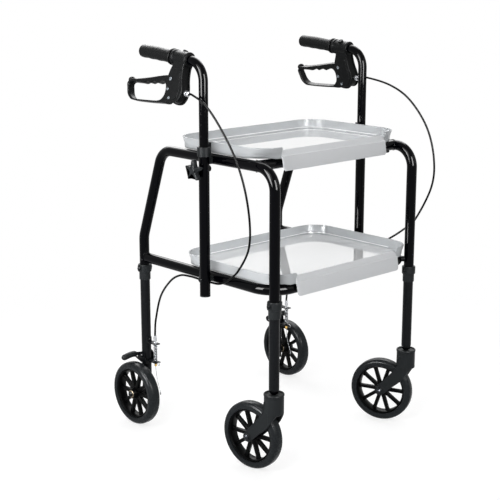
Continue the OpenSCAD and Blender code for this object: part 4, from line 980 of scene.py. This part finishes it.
class WALKER_OT_cables(bpy.types.Operator):
    """Brake cables from the handles' adjusters to the rear legs"""

    bl_idname = "walker.cables"
    bl_label = "Brake cables"

    straight, lap = 0.012, 0.002
    routes = {
        "right": [
            (-283, -92, 833), (-280, -136, 789), (-275, -179, 726), (-268, -203, 657), (-258, -208, 580),
            (-250, -195, 518), (-248, -159, 463), (-247, -124, 434)],
        "left": [
            (280, -64, 856), (285, -138, 842), (290, -198, 810), (295, -250, 747), (297, -274, 672),
            (296, -270, 600), (285, -231, 514), (273, -204, 486), (261, -174, 462), (250, -132, 435)]}
    along_rail = [
        (246, -94, 420), (245, -64, 417), (245, -24, 417), (245, 14, 417), (244, 50, 412), (241, 90, 390),
        (237, 134, 342), (233, 160, 277)]
    follow = {
        "right": ((-0.262, -0.2, 0.56), (-0.284, -0.06, 0.85)),
        "left": ((0.296, -0.2, 0.56), (0.28, -0.12, 0.85))}

    def execute(self, context):
        for name, side in SIDES:
            y, z = WALKER_OT_brake_housings.adjuster_yz
            place = grip_matrix(name, side)
            start = [np.array(place @ Vector((0, y - d, z))) for d in (-self.lap, SEAT_GAP, self.straight)]
            stop = np.array((side * SIDE_X, middle(name + "_return_spring")[1], high("cable_adjusters")[2]))
            middle_run = np.concatenate([self.routes[name], np.array(self.along_rail) * (side, 1, 1)]) * MM
            route = start + list(middle_run) + [stop + self.straight * Z_AXIS, stop]
            tube = sweep(smooth_path(route, 14), ring(16, sizes().cable_r), X_AXIS)
            cable = piece(name + "_cable", [tube], cable_sheath(), None, [name + "_brake_cable"])
            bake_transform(cable)
        return {"FINISHED"}


class WALKER_OT_knobs(bpy.types.Operator):
    """Star knobs that clamp the handle height"""

    bl_idname = "walker.knobs"
    bl_label = "Star knobs"

    arms, arm_power = 5, 1.8
    reach, hub_r, star_t, star_edge = 0.025, 0.011, 0.014, 0.0028
    neck = np.array([(4, 0), (4, 1.5), (7.5, 2.2), (6.8, 8)]) * MM
    neck_top = np.array([(9.5, -13.5)]) * MM
    cap = np.array([(7.8, -1), (7.4, -0.2), (6.2, 0.4), (0.4, 0.6)]) * MM

    def execute(self, context):
        for name, side in SIDES:
            node = name + "_clamp_knob"
            lo, hi = low(node), high(node)
            depth, base_x = hi[0] - lo[0], lo[0] if side > 0 else hi[0]
            place = aim((base_x, POST_Y, pivot(name + "_knob_turn")[2]), (side, 0, 0))
            star = plate(self.star(), depth - self.star_t, depth, self.star_edge)[..., [1, 2, 0]]
            neck = turned(np.concatenate([self.neck, self.neck_top + (0, depth)]), 0.001)
            cap = turned(self.cap + (0, depth), 0.0004)
            piece(name + "_star_knob", placed([star, neck, cap], place), moulded(), name + "_knob", [node])
        return {"FINISHED"}

    def star(self):
        """Outline r(a) = hub + (reach - hub) (half + half cos 5 a)^1.8, with one arm straight up."""
        a = turn(240)
        wave = (0.5 + 0.5 * np.cos(self.arms * a)) ** self.arm_power
        r = self.hub_r + (self.reach - self.hub_r) * wave
        return np.stack([r * np.sin(a), r * np.cos(a)], -1)


class WALKER_OT_collars(bpy.types.Operator):
    """Leg collars: a turned ring with a step, and a lug across it for the bolt"""

    bl_idname = "walker.collars"
    bl_label = "Leg collars"

    step_rise, leg_gap = 0.02, 0.0002
    foot = np.array([(13.4, 0), (14, 1.2)]) * MM
    shoulder = np.array([(14, -0.4), (16.2, 0.4), (16.5, 1.6)]) * MM
    head = np.array([(16.5, -1.6), (15.5, 0)]) * MM
    lug_half, lug_section = 0.0172, (0.0065, 0.0075, 0.002)

    def execute(self, context):
        base, top = low("leg_collars")[2], high("leg_collars")[2]
        step = base + self.step_rise
        profile = np.concatenate([
            [(LEG_R + self.leg_gap, base)], self.foot + (0, base), self.shoulder + (0, step),
            self.head + (0, top), [(TUBE_R + SEAT_GAP, top)]])
        lug_z = (step + top) / 2
        lug = np.array([(-self.lug_half, 0, lug_z), (self.lug_half, 0, lug_z)])
        collar = [turned(profile, 0.0008, 56), sweep(lug, rounded_section(*self.lug_section), Y_AXIS)]
        patches = []
        for _, side in SIDES:
            for y in (FRONT_Y, REAR_Y):
                patches += placed(collar, shift(side * SIDE_X, y))
        piece("collar_rings", patches, moulded(), "frame", ["leg_collars"])
        return {"FINISHED"}


class WALKER_OT_forks(bpy.types.Operator):
    """Castor forks: a round crown with a flanged top and two arms beside the wheel"""

    bl_idname = "walker.forks"
    bl_label = "Castor forks"

    crown_r, roof, skirt, wheel_clear = 0.023, 0.152, 0.1475, 0.084
    slot_half, arm_x, arm_edge = 0.01875, 0.0221, 0.0012
    border_in, border_r, boss_x = 0.0017, 0.0011, 0.0226
    arm = np.array([
        (-3, 98), (-3, 74), (-2.6, 52), (-0.8, 39.5), (26, 15), (52, -8.5), (60, -11.5), (68, -8.5),
        (72.5, 0), (69, 9.5), (46, 35), (24, 60.5), (15, 76), (12, 99)]) * MM
    boss = np.array([(9.8, -1), (9.8, 1.4), (9, 2.2), (7.6, 2.2), (7.2, 1.2), (4, 1.2)]) * MM
    flange = np.array([
        (22.6, -6.2), (22.6, -5.6), (23.6, -5), (24, -3.5), (23.7, -1), (22.8, 0), (20.4, 0), (19.5, -1),
        (19, -2.5), (6, -2.5)]) * MM
    under_shares = np.array([0.1, 0.5, 0.8, 0.83, 0.85, 0.96, 1, 1, 1, 1, 1])[:, None]
    roof_rows, edge_row, edge_round = 4, 6, 0.0008
    wall_shares, wall_top = np.array([0.1, 0.4, 0.8, 1])[:, None], 0.0064
    back_y, back_rise = 0.002, 0.01
    slant_y, slant_z = (-0.023, -0.018, -0.001), (skirt, skirt, 0.1205)

    def execute(self, context):
        arm = smooth_loop(self.arm, 6) + (0, WHEEL_R)
        for name, _ in SIDES:
            centre, stem = pivot(name + "_front_wheel_spin"), pivot(name + "_caster_swivel")
            trail = np.linalg.norm((centre - stem)[:2])
            axis = JOINTS[name + "_front_wheel_spin"]["axis"]
            swivel = Matrix.Rotation(np.arctan2(axis[1], axis[0]), 4, "Z")
            patches = [self.crown(stem[2], trail)]
            for s in (-1, 1):
                patches.append(plate(arm, self.slot_half, self.arm_x, self.arm_edge) * (s, 1, 1))
                patches.append((self.border(arm) * (s, 1, 1), "ring"))
                seat = aim((s * self.boss_x, trail, WHEEL_R), (s, 0, 0))
                patches.append(moved(turned(self.boss, 0.0005), seat))
            place = shift(stem[0], stem[1]) @ swivel
            piece(name + "_fork_shell", placed(patches, place), moulded(), name + "_caster", [name + "_fork"])
        return {"FINISHED"}

    def border(self, arm):
        """Raised cord along the arm's outline, a little inside its edge, half sunk in the outer face."""
        flat = arm - self.border_in * outward(arm)
        path = np.concatenate([np.full((len(arm), 1), self.arm_x), flat], -1)
        return sweep(path, ring(10, self.border_r), X_AXIS, closed=True)

    def crown(self, top, trail):
        """Round crown: a roof over the wheel, a wall whose lower edge slants to the arms, and a flange."""
        a = turn(96)
        x, y = self.crown_r * self.under_shares * np.cos(a), self.crown_r * self.under_shares * np.sin(a)
        roof = self.roof_edge(y, trail)
        rows = np.arange(len(y))[:, None]
        z = np.where(rows < self.roof_rows, roof, np.minimum(self.lower_edge(y), roof))
        z[self.edge_row] += self.edge_round
        edge = z[self.edge_row]
        z[self.edge_row + 1:] = edge + (top - self.wall_top - edge) * self.wall_shares
        return np.concatenate([np.stack([x, y, z], -1), lathe(self.flange + (0, top), 96)])

    def roof_edge(self, y, trail):
        """Height of the crown's roof: the wheel's clearance cylinder, or the level roof in front of it."""
        arc = WHEEL_R + np.sqrt(np.maximum(self.wheel_clear**2 - (trail - y) ** 2, 0))
        return np.maximum(arc, self.roof)

    def lower_edge(self, y):
        """Height of the wall's lower edge: level in front, then slanting down to the arms; high behind."""
        slant = np.interp(y, self.slant_y, self.slant_z)
        return np.where(y > self.back_y, self.roof + self.back_rise, slant)


class WALKER_OT_wheels(bpy.types.Operator):
    """Wheels: round-shouldered tyres, rims, tapered spokes and hubs, with bushes on both sides"""

    bl_idname = "walker.wheels"
    bl_label = "Wheels"

    half_w, rim_r = 0.01575, 0.063
    shoulder, crown_power, groove_z, groove_w, groove_h = 0.0105, 3.2, 0.0105, 0.0005, 0.0007
    tyre_side = np.array([(3, -0.5), (0.8, -0.8), (0.3, -2.2), (0.1, -6)]) * MM
    tyre_edge = np.array([(-11.5, -0.3)]) * MM
    rim_t, rim_gap, rim_half = 0.0052, 0.0002, 0.0115
    rim_outside = np.array([(0, 0), (-1, 0.8)]) * MM
    rim_inside = np.array([(1.8, 0.8), (0.6, -1)]) * MM
    hub = np.array([(14.2, 8), (12.5, 15.5), (11.8, 17), (9, 17), (8.8, 14), (4.1, 14)]) * MM
    bush = np.array([(6.8, 16.6), (9.7, 16.6), (9.7, 17.6), (9.1, 18.2), (6.8, 18.2)]) * MM
    spoke_from, spoke_sunk, spoke_edge = 0.0125, 0.001, 0.001
    spoke_half, spoke_flare, spoke_depth, spoke_taper = 0.0043, 0.0016, 0.0052, 0.0012

    def execute(self, context):
        bush = turned(self.bush, 0.0004)
        for name, _ in SIDES:
            for end in ("front", "rear"):
                label = name + "_" + end
                joint, body = JOINTS[label + "_wheel_spin"], label + "_roller"
                place = aim(joint["pos_m"], joint["axis"])
                piece(label + "_tyre_skin", placed([(self.tyre(), "ring")], place), tyre_rubber(), body,
                      [label + "_tyre"])
                piece(label + "_spoked_wheel", placed(self.wheel(), place), wheel_plastic(), body,
                      [label + "_wheel"])
                piece(label + "_bush", placed([bush, bush * (1, 1, -1)], place), bush_metal(), body)
        return {"FINISHED"}

    def tyre(self):
        """Section of a tyre: a tread r - s (1 - sqrt(1 - |z / w|^3.2)) with two grooves, and flat sides."""
        w, r = self.half_w, WHEEL_R
        t = np.linspace(-1, 1, 73)
        z = w * np.sin(np.sign(t) * np.abs(t) ** 0.9 * np.pi / 2)
        round_share = 1 - np.clip(1 - np.abs(z / w) ** self.crown_power, 0, 1) ** 0.5
        groove = self.groove_h * bell(np.abs(z), self.groove_z, self.groove_w)
        tread = np.stack([r - self.shoulder * round_share - groove, z], -1)
        side = np.concatenate([self.tyre_edge + (r, w), self.tyre_side + (self.rim_r, w)])
        return lathe(np.concatenate([tread, side, side[::-1] * (1, -1)]), 128)

    def wheel(self):
        """Rim ring, spokes that flare at both ends and deepen towards the hub, and a stepped hub."""
        inner, outer, w = self.rim_r - self.rim_t, self.rim_r - self.rim_gap, self.rim_half
        rim = np.concatenate([self.rim_outside + (outer, w), self.rim_inside + (inner, w)])
        rim = np.concatenate([rim, [(inner, 0)], rim[::-1] * (1, -1)])
        hub = np.concatenate([self.hub[::-1] * (1, -1), self.hub])
        patches = [(lathe(rim, 120), "ring"), (turned(hub, 0.0006, 60), "ring")]
        s = np.linspace(0, 1, 25)
        reach = self.spoke_from + (inner + self.spoke_sunk - self.spoke_from) * s
        flare = self.spoke_flare * np.abs(2 * s - 1) ** 6
        section = rounded_section(self.spoke_half + flare, self.spoke_depth - self.spoke_taper * s,
                                  np.full(len(s), self.spoke_edge), 4)
        for a in turn(sizes().spokes):
            way = np.array((np.cos(a), np.sin(a), 0))
            patches.append(sweep(reach[:, None] * way, section, np.cross(Z_AXIS, way)))
        return patches


class WALKER_OT_rear_brakes(bpy.types.Operator):
    """Rear brakes: pressing bars, return springs, wires with pinch bolts and cable adjusters"""

    bl_idname = "walker.rear_brakes"
    bl_label = "Rear brakes"

    wire_r, spring_wire_r, liner_r, tail_share = 0.0008, 0.0008, 0.0032, 0.8
    rod_r, sleeve_r, bar_reach = 0.004, 0.0076, 0.006
    swell_share, swell_rate, round_share, round_width = 0.42, 60, 0.88, 0.1201
    arch_rise, arch_h, arch_share, arch_width = 0.0012, 0.0042, 0.6, 0.28
    plate_drop, tail_out = 0.0027, 0.0015
    liner_gaps = (0.001, 0.0005)
    tail_start = np.array([(0, -8), (-1, -20), (-6, -45)]) * MM
    tail_end = np.array([(1, 8), (0, 4)]) * MM
    hook = np.array([(-4, 2.8), (-16, 3.4), (-15.5, -4.8), (-8, -3.8)]) * MM
    crimp = np.array([(0.6, 0), (1.5, 0.6), (1.5, 6), (0.8, 6.8)]) * MM
    bolt = np.array([(0.8, -9.8), (2.8, -9.4), (3.1, -8), (3.1, -1), (0.9, -0.2)]) * MM
    stud_h = np.array([0, 2.5, 2.7, 4.5, 4.8, 8, 8.3]) * MM
    barrel_h = np.array([-4, -3.5, 0]) * MM
    adjuster_r = np.array([2.4, 2.4, 0, 0, 2.6, 2.6, 4.3, 4.3, 3.6, 3.2])[:, None] * MM
    knurl_r, knurl_h, knurls, barrel_rise = 0.0038, 0.0002, 16, 0.004

    def execute(self, context):
        for name, side in SIDES:
            self.bar(name, side)
            self.spring(name)
            self.wire(name)
            self.liner(name)
            self.pinch_bolt(name)
        adjusters = [self.adjuster(name) for name, _ in SIDES]
        piece("rear_adjusters", adjusters, bright_steel(), "frame", ["cable_adjusters"])
        return {"FINISHED"}

    def bar(self, name, side):
        """Cranked bar: a rod through the arm that swells into a round-ended sleeve with a slight arch."""
        node = name + "_brake_bar"
        lo, hi, mid = low(node), high(node), middle(node)
        inner, outer = (hi[0], lo[0] - self.bar_reach) if side < 0 else (lo[0], hi[0] + self.bar_reach)
        s = np.concatenate([np.linspace(0, 0.5, 16), 0.5 + 0.5 * np.sin(np.linspace(0, np.pi / 2, 40)[1:])])
        swell = 1 / (1 + np.exp((self.swell_share - s) * self.swell_rate))
        past = np.clip(s - self.round_share, 0, 1) / self.round_width
        r = (self.rod_r + (self.sleeve_r - self.rod_r) * swell) * np.sqrt(np.clip(1 - past**2, 0.0004, 1))
        arch = self.arch_rise + self.arch_h * bell(s, self.arch_share, self.arch_width)
        path = np.stack([inner + (outer - inner) * s, mid[1] + 0 * s, mid[2] + arch], -1)
        piece(name + "_press_bar", [sweep(path, r[:, None, None] * ring(32), Z_AXIS)], moulded(),
              name + "_rear_brake", [node])

    def spring(self, name):
        """Helix x = r cos a, y = r sin a, z rising with a, with straight ends."""
        node, wire, turns = name + "_return_spring", self.spring_wire_r, sizes().spring_turns
        lo, hi, mid = low(node), high(node), middle(node)
        r = (hi - lo)[0] / 2 - wire
        a = np.linspace(0, TAU * turns, turns * 28 + 1)
        z = np.linspace(lo[2] + 2 * wire, hi[2] - 2 * wire, len(a))
        coil = np.stack([mid[0] + r * np.cos(a), mid[1] + r * np.sin(a), z], -1)
        foot, head = coil[0] * (1, 1, 0) + lo[2] * Z_AXIS, coil[-1] * (1, 1, 0) + hi[2] * Z_AXIS
        path = np.concatenate([[foot], coil, [head]])
        out = np.concatenate([[X_AXIS], np.stack([np.cos(a), np.sin(a), 0 * a], -1), [X_AXIS]])
        made = piece(name + "_spring_coil", [sweep(path, ring(10, wire), out)], spring_steel(), None, [node])
        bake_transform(made)

    def plate_place(self, name):
        """Where the wire meets the plate of the brake arm, under the middle of the return spring."""
        x, y = middle(name + "_return_spring")[:2]
        return x, y, low(name + "_return_spring")[2] - self.plate_drop

    def wire(self, name):
        """Inner wire, its hook, and a loose tail with a crimped end."""
        node = name + "_brake_wire"
        lo, hi = low(node), high(node)
        x, y, plate_z = self.plate_place(name)
        tail_y, strand = lo[1] - self.tail_out, ring(10, self.wire_r)
        straight = np.array([(x, y, hi[2]), (x, y, plate_z)])
        tail = np.concatenate([self.tail_start + (y, plate_z), self.tail_end + (tail_y, lo[2])])
        tail = smooth_path(np.insert(tail, 0, x, 1), 10)
        hook = bent_path(np.insert(self.hook + (y, plate_z), 0, x, 1), (0.003, 0.003), 0.0006)
        crimp = moved(turned(self.crimp, 0.0005, 16), shift(x, tail_y, lo[2]))
        patches = [sweep(straight, strand, X_AXIS), sweep(tail, strand * self.tail_share, X_AXIS),
                   sweep(hook, strand, X_AXIS), crimp]
        made = piece(name + "_inner_wire", patches, spring_steel(), None, [node])
        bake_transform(made)

    def liner(self, name):
        """Dark liner round the wire, inside the return spring."""
        spring, (top_gap, foot_gap) = name + "_return_spring", self.liner_gaps
        x, y, plate_z = self.plate_place(name)
        core = np.array([(x, y, high(spring)[2] - top_gap), (x, y, low(spring)[2] + foot_gap)])
        liner = piece(name + "_wire_liner", [sweep(core, ring(16, self.liner_r), X_AXIS)], cable_sheath(),
                      None)
        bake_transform(liner)

    def pinch_bolt(self, name):
        """Brass bolt that pinches the wire under the plate."""
        bolt = moved(turned(self.bolt, 0.0006, 24), shift(*self.plate_place(name)))
        piece(name + "_pinch_bolt", [bolt], dull_brass(), name + "_rear_brake")

    def adjuster(self, name):
        """Cable adjuster: a barrel on a threaded neck, with a knurled nut of radius r + k cos 16 a."""
        x, y = middle(name + "_return_spring")[:2]
        base, top = low("cable_adjusters")[2], high("cable_adjusters")[2] + self.barrel_rise
        a = turn(48)
        h = np.concatenate([base + self.stud_h, top + self.barrel_h])[:, None]
        knurl = self.knurl_r + self.knurl_h * np.cos(self.knurls * a)
        r = np.where(self.adjuster_r > 0, self.adjuster_r, knurl)
        return np.stack([x + r * np.cos(a), y + r * np.sin(a), h + 0 * a], -1)


class WALKER_OT_fasteners(bpy.types.Operator):
    """Finishes of the nodes that keep their solid shape: clamps, plugs, clips, arms, bolts and axles"""

    bl_idname = "walker.fasteners"
    bl_label = "Clamps and fasteners"

    def execute(self, context):
        kept = {
            moulded: ["post_clamps", "tube_plugs", "cable_clips"],
            frame_paint: ["caster_stem"],
            black_steel: ["front_axle"],
            leg_paint: ["frame_bolts", "rear_axle", "cable_stop", "brake_arm"],
        }
        for coat, names in kept.items():
            for name in names:
                for node in [name] if name in frame["nodes"] else [side + "_" + name for side, _ in SIDES]:
                    mesh = frame["nodes"][node].data
                    mesh.materials.clear()
                    mesh.materials.append(coat())
        return {"FINISHED"}


class WALKER_OT_stage(bpy.types.Operator):
    """Pale floor that fades into a white studio, soft lamps and the camera"""

    bl_idname = "walker.stage"
    bl_label = "Stage"

    camera_place = (-1.99105, -2.05875, 1.13859)
    azimuth, elevation = np.radians(-43.13), np.radians(13.66)
    lens, sensor = 85.25, 36.0
    floor_r, floor_z, fade_from, fade_to = 1.6, -0.0004, 0.45, 1.3

    def execute(self, context):
        context.scene.view_settings.view_transform = "Standard"
        self.world(context)
        self.floor()
        self.lamp("key", (-2.5, -0.8, 2.6), (0, 0, 0.45), (1.6, 1.6), 58)
        self.lamp("fill", (1.4, -2.8, 1.9), (0, 0, 0.45), (1.8, 1.8), 21)
        self.lamp("bounce", (-1.45, -0.35, 0.002), (-1.45, -0.35, 1), (1.6, 1.6), 32, dull=True)
        self.lamp("back", (0.6, 2.6, 2.4), (0, 0, 0.5), (2.2, 1.2), 38)
        self.lamp("far_side", (2.6, 0.3, 1.5), (0, 0, 0.5), (1.6, 1.6), 18, dull=True)
        self.lamp("side_glint", (-1.75, 0, 1.24), (0, 0, 1.24), (0.8, 1.1), 200, glint=True)
        self.lamp("front_glint", (-0.35, -1.75, 1.25), (0, 0, 1.25), (0.7, 1.08), 170, glint=True)
        self.lamp("top_glint", (1.2, 1.2, 2.4), (0, 0, 0.5), (2.4, 2.4), 127, glint=True)
        self.camera(context)
        return {"FINISHED"}

    def world(self, context):
        """White for what the camera and reflections see, softer light for everything else."""
        world = bpy.data.worlds.new("studio")
        context.scene.world = world
        world.use_nodes = True
        nodes, links = world.node_tree.nodes, world.node_tree.links
        nodes.clear()
        ray = nodes.new("ShaderNodeLightPath")
        seen = ray.outputs["Is Camera Ray"]
        for name in ("Is Glossy Ray", "Is Transmission Ray"):
            either = nodes.new("ShaderNodeMath")
            either.operation = "MAXIMUM"
            links.new(seen, either.inputs[0])
            links.new(ray.outputs[name], either.inputs[1])
            seen = either.outputs["Value"]
        soft = tuned(nodes.new("ShaderNodeBackground"), Color=(1, 1, 1, 1), Strength=0.38)
        white = tuned(nodes.new("ShaderNodeBackground"), Color=(1, 1, 1, 1), Strength=1.0)
        mix = nodes.new("ShaderNodeMixShader")
        out = nodes.new("ShaderNodeOutputWorld")
        links.new(seen, mix.inputs["Fac"])
        links.new(soft.outputs[0], mix.inputs[1])
        links.new(white.outputs[0], mix.inputs[2])
        links.new(mix.outputs[0], out.inputs["Surface"])

    def floor(self):
        """Disc that takes the shadows near the walker and fades out to the white studio."""
        a, r = np.linspace(0, TAU, 97), np.linspace(0, self.floor_r, 9)[:, None]
        grid = np.stack([r * np.cos(a), r * np.sin(a), self.floor_z + 0 * r * a], -1)
        made = bpy.data.materials.new("pale_floor")
        made.use_nodes = True
        nodes, links = made.node_tree.nodes, made.node_tree.links
        nodes.clear()
        place = nodes.new("ShaderNodeTexCoord").outputs["Object"]
        far = nodes.new("ShaderNodeVectorMath")
        far.operation = "LENGTH"
        links.new(place, far.inputs[0])
        fade = tuned(nodes.new("ShaderNodeMapRange"), From_Min=self.fade_from, From_Max=self.fade_to,
                     To_Min=0.0, To_Max=1.0)
        fade.interpolation_type = "SMOOTHSTEP"
        links.new(far.outputs["Value"], fade.inputs["Value"])
        pale = tuned(nodes.new("ShaderNodeBsdfDiffuse"), Color=(0.9, 0.9, 0.9, 1))
        glow = tuned(nodes.new("ShaderNodeEmission"), Color=(1, 1, 1, 1), Strength=1.2)
        lit = tuned(nodes.new("ShaderNodeMixShader"), Fac=0.6)
        clear = nodes.new("ShaderNodeBsdfTransparent")
        mix = nodes.new("ShaderNodeMixShader")
        out = nodes.new("ShaderNodeOutputMaterial")
        links.new(pale.outputs[0], lit.inputs[1])
        links.new(glow.outputs[0], lit.inputs[2])
        links.new(fade.outputs["Result"], mix.inputs["Fac"])
        links.new(lit.outputs[0], mix.inputs[1])
        links.new(clear.outputs[0], mix.inputs[2])
        links.new(mix.outputs[0], out.inputs["Surface"])
        piece("floor", [(grid, "sheet")], made)

    def lamp(self, name, place, target, size, watts, glint=False, dull=False):
        """Area lamp of the given width and height, aimed at a point. A glint lamp shows in reflections alone,
        and a dull one in none."""
        data = bpy.data.lights.new(name, "AREA")
        data.shape = "RECTANGLE"
        data.size, data.size_y = size
        data.energy = watts
        made = bpy.data.objects.new(name, data)
        made.location = place
        made.rotation_mode = "QUATERNION"
        made.rotation_quaternion = (Vector(target) - Vector(place)).to_track_quat("-Z", "Y")
        made.visible_camera = False
        made.visible_diffuse = not glint
        made.visible_glossy = not dull
        bpy.context.scene.collection.objects.link(made)

    def camera(self, context):
        """Camera at the photograph's place."""
        data = bpy.data.cameras.new("camera")
        data.lens, data.sensor_width = self.lens, self.sensor
        made = bpy.data.objects.new("camera", data)
        context.scene.collection.objects.link(made)
        a, e = self.azimuth, self.elevation
        back = Vector((np.sin(a) * np.cos(e), -np.cos(a) * np.cos(e), np.sin(e)))
        made.location = self.camera_place
        made.rotation_mode = "QUATERNION"
        made.rotation_quaternion = (-back).to_track_quat("-Z", "Y")
        context.scene.camera = made


OPERATORS = (
    WALKER_OT_stage, WALKER_OT_tubes, WALKER_OT_trays, WALKER_OT_grips, WALKER_OT_brake_housings,
    WALKER_OT_brake_levers, WALKER_OT_cables, WALKER_OT_knobs, WALKER_OT_collars, WALKER_OT_forks,
    WALKER_OT_wheels, WALKER_OT_rear_brakes, WALKER_OT_fasteners)


class WALKER_PT_build(bpy.types.Panel):
    """Lists the walker's pieces, sizes and colours"""

    bl_idname = "WALKER_PT_build"
    bl_label = "Walker"
    bl_space_type = "VIEW_3D"
    bl_region_type = "UI"
    bl_category = "Walker"

    def draw(self, context):
        for operator in OPERATORS:
            self.layout.operator(operator.bl_idname)
        for group in (context.scene.walker_sizes, context.scene.walker_colours):
            for name in group.__annotations__:
                self.layout.prop(group, name)


CLASSES = (WalkerSizes, WalkerColours) + OPERATORS + (WALKER_PT_build,)


def register():
    for cls in CLASSES:
        bpy.utils.register_class(cls)
    bpy.types.Scene.walker_sizes = PointerProperty(type=WalkerSizes)
    bpy.types.Scene.walker_colours = PointerProperty(type=WalkerColours)


def unregister():
    del bpy.types.Scene.walker_colours
    del bpy.types.Scene.walker_sizes
    for cls in reversed(CLASSES):
        bpy.utils.unregister_class(cls)


def main():
    """Builds the walker piece by piece."""
    register()
    for operator in OPERATORS:
        group, name = operator.bl_idname.split(".")
        getattr(getattr(bpy.ops, group), name)()


if __name__ == "__main__":
    main()
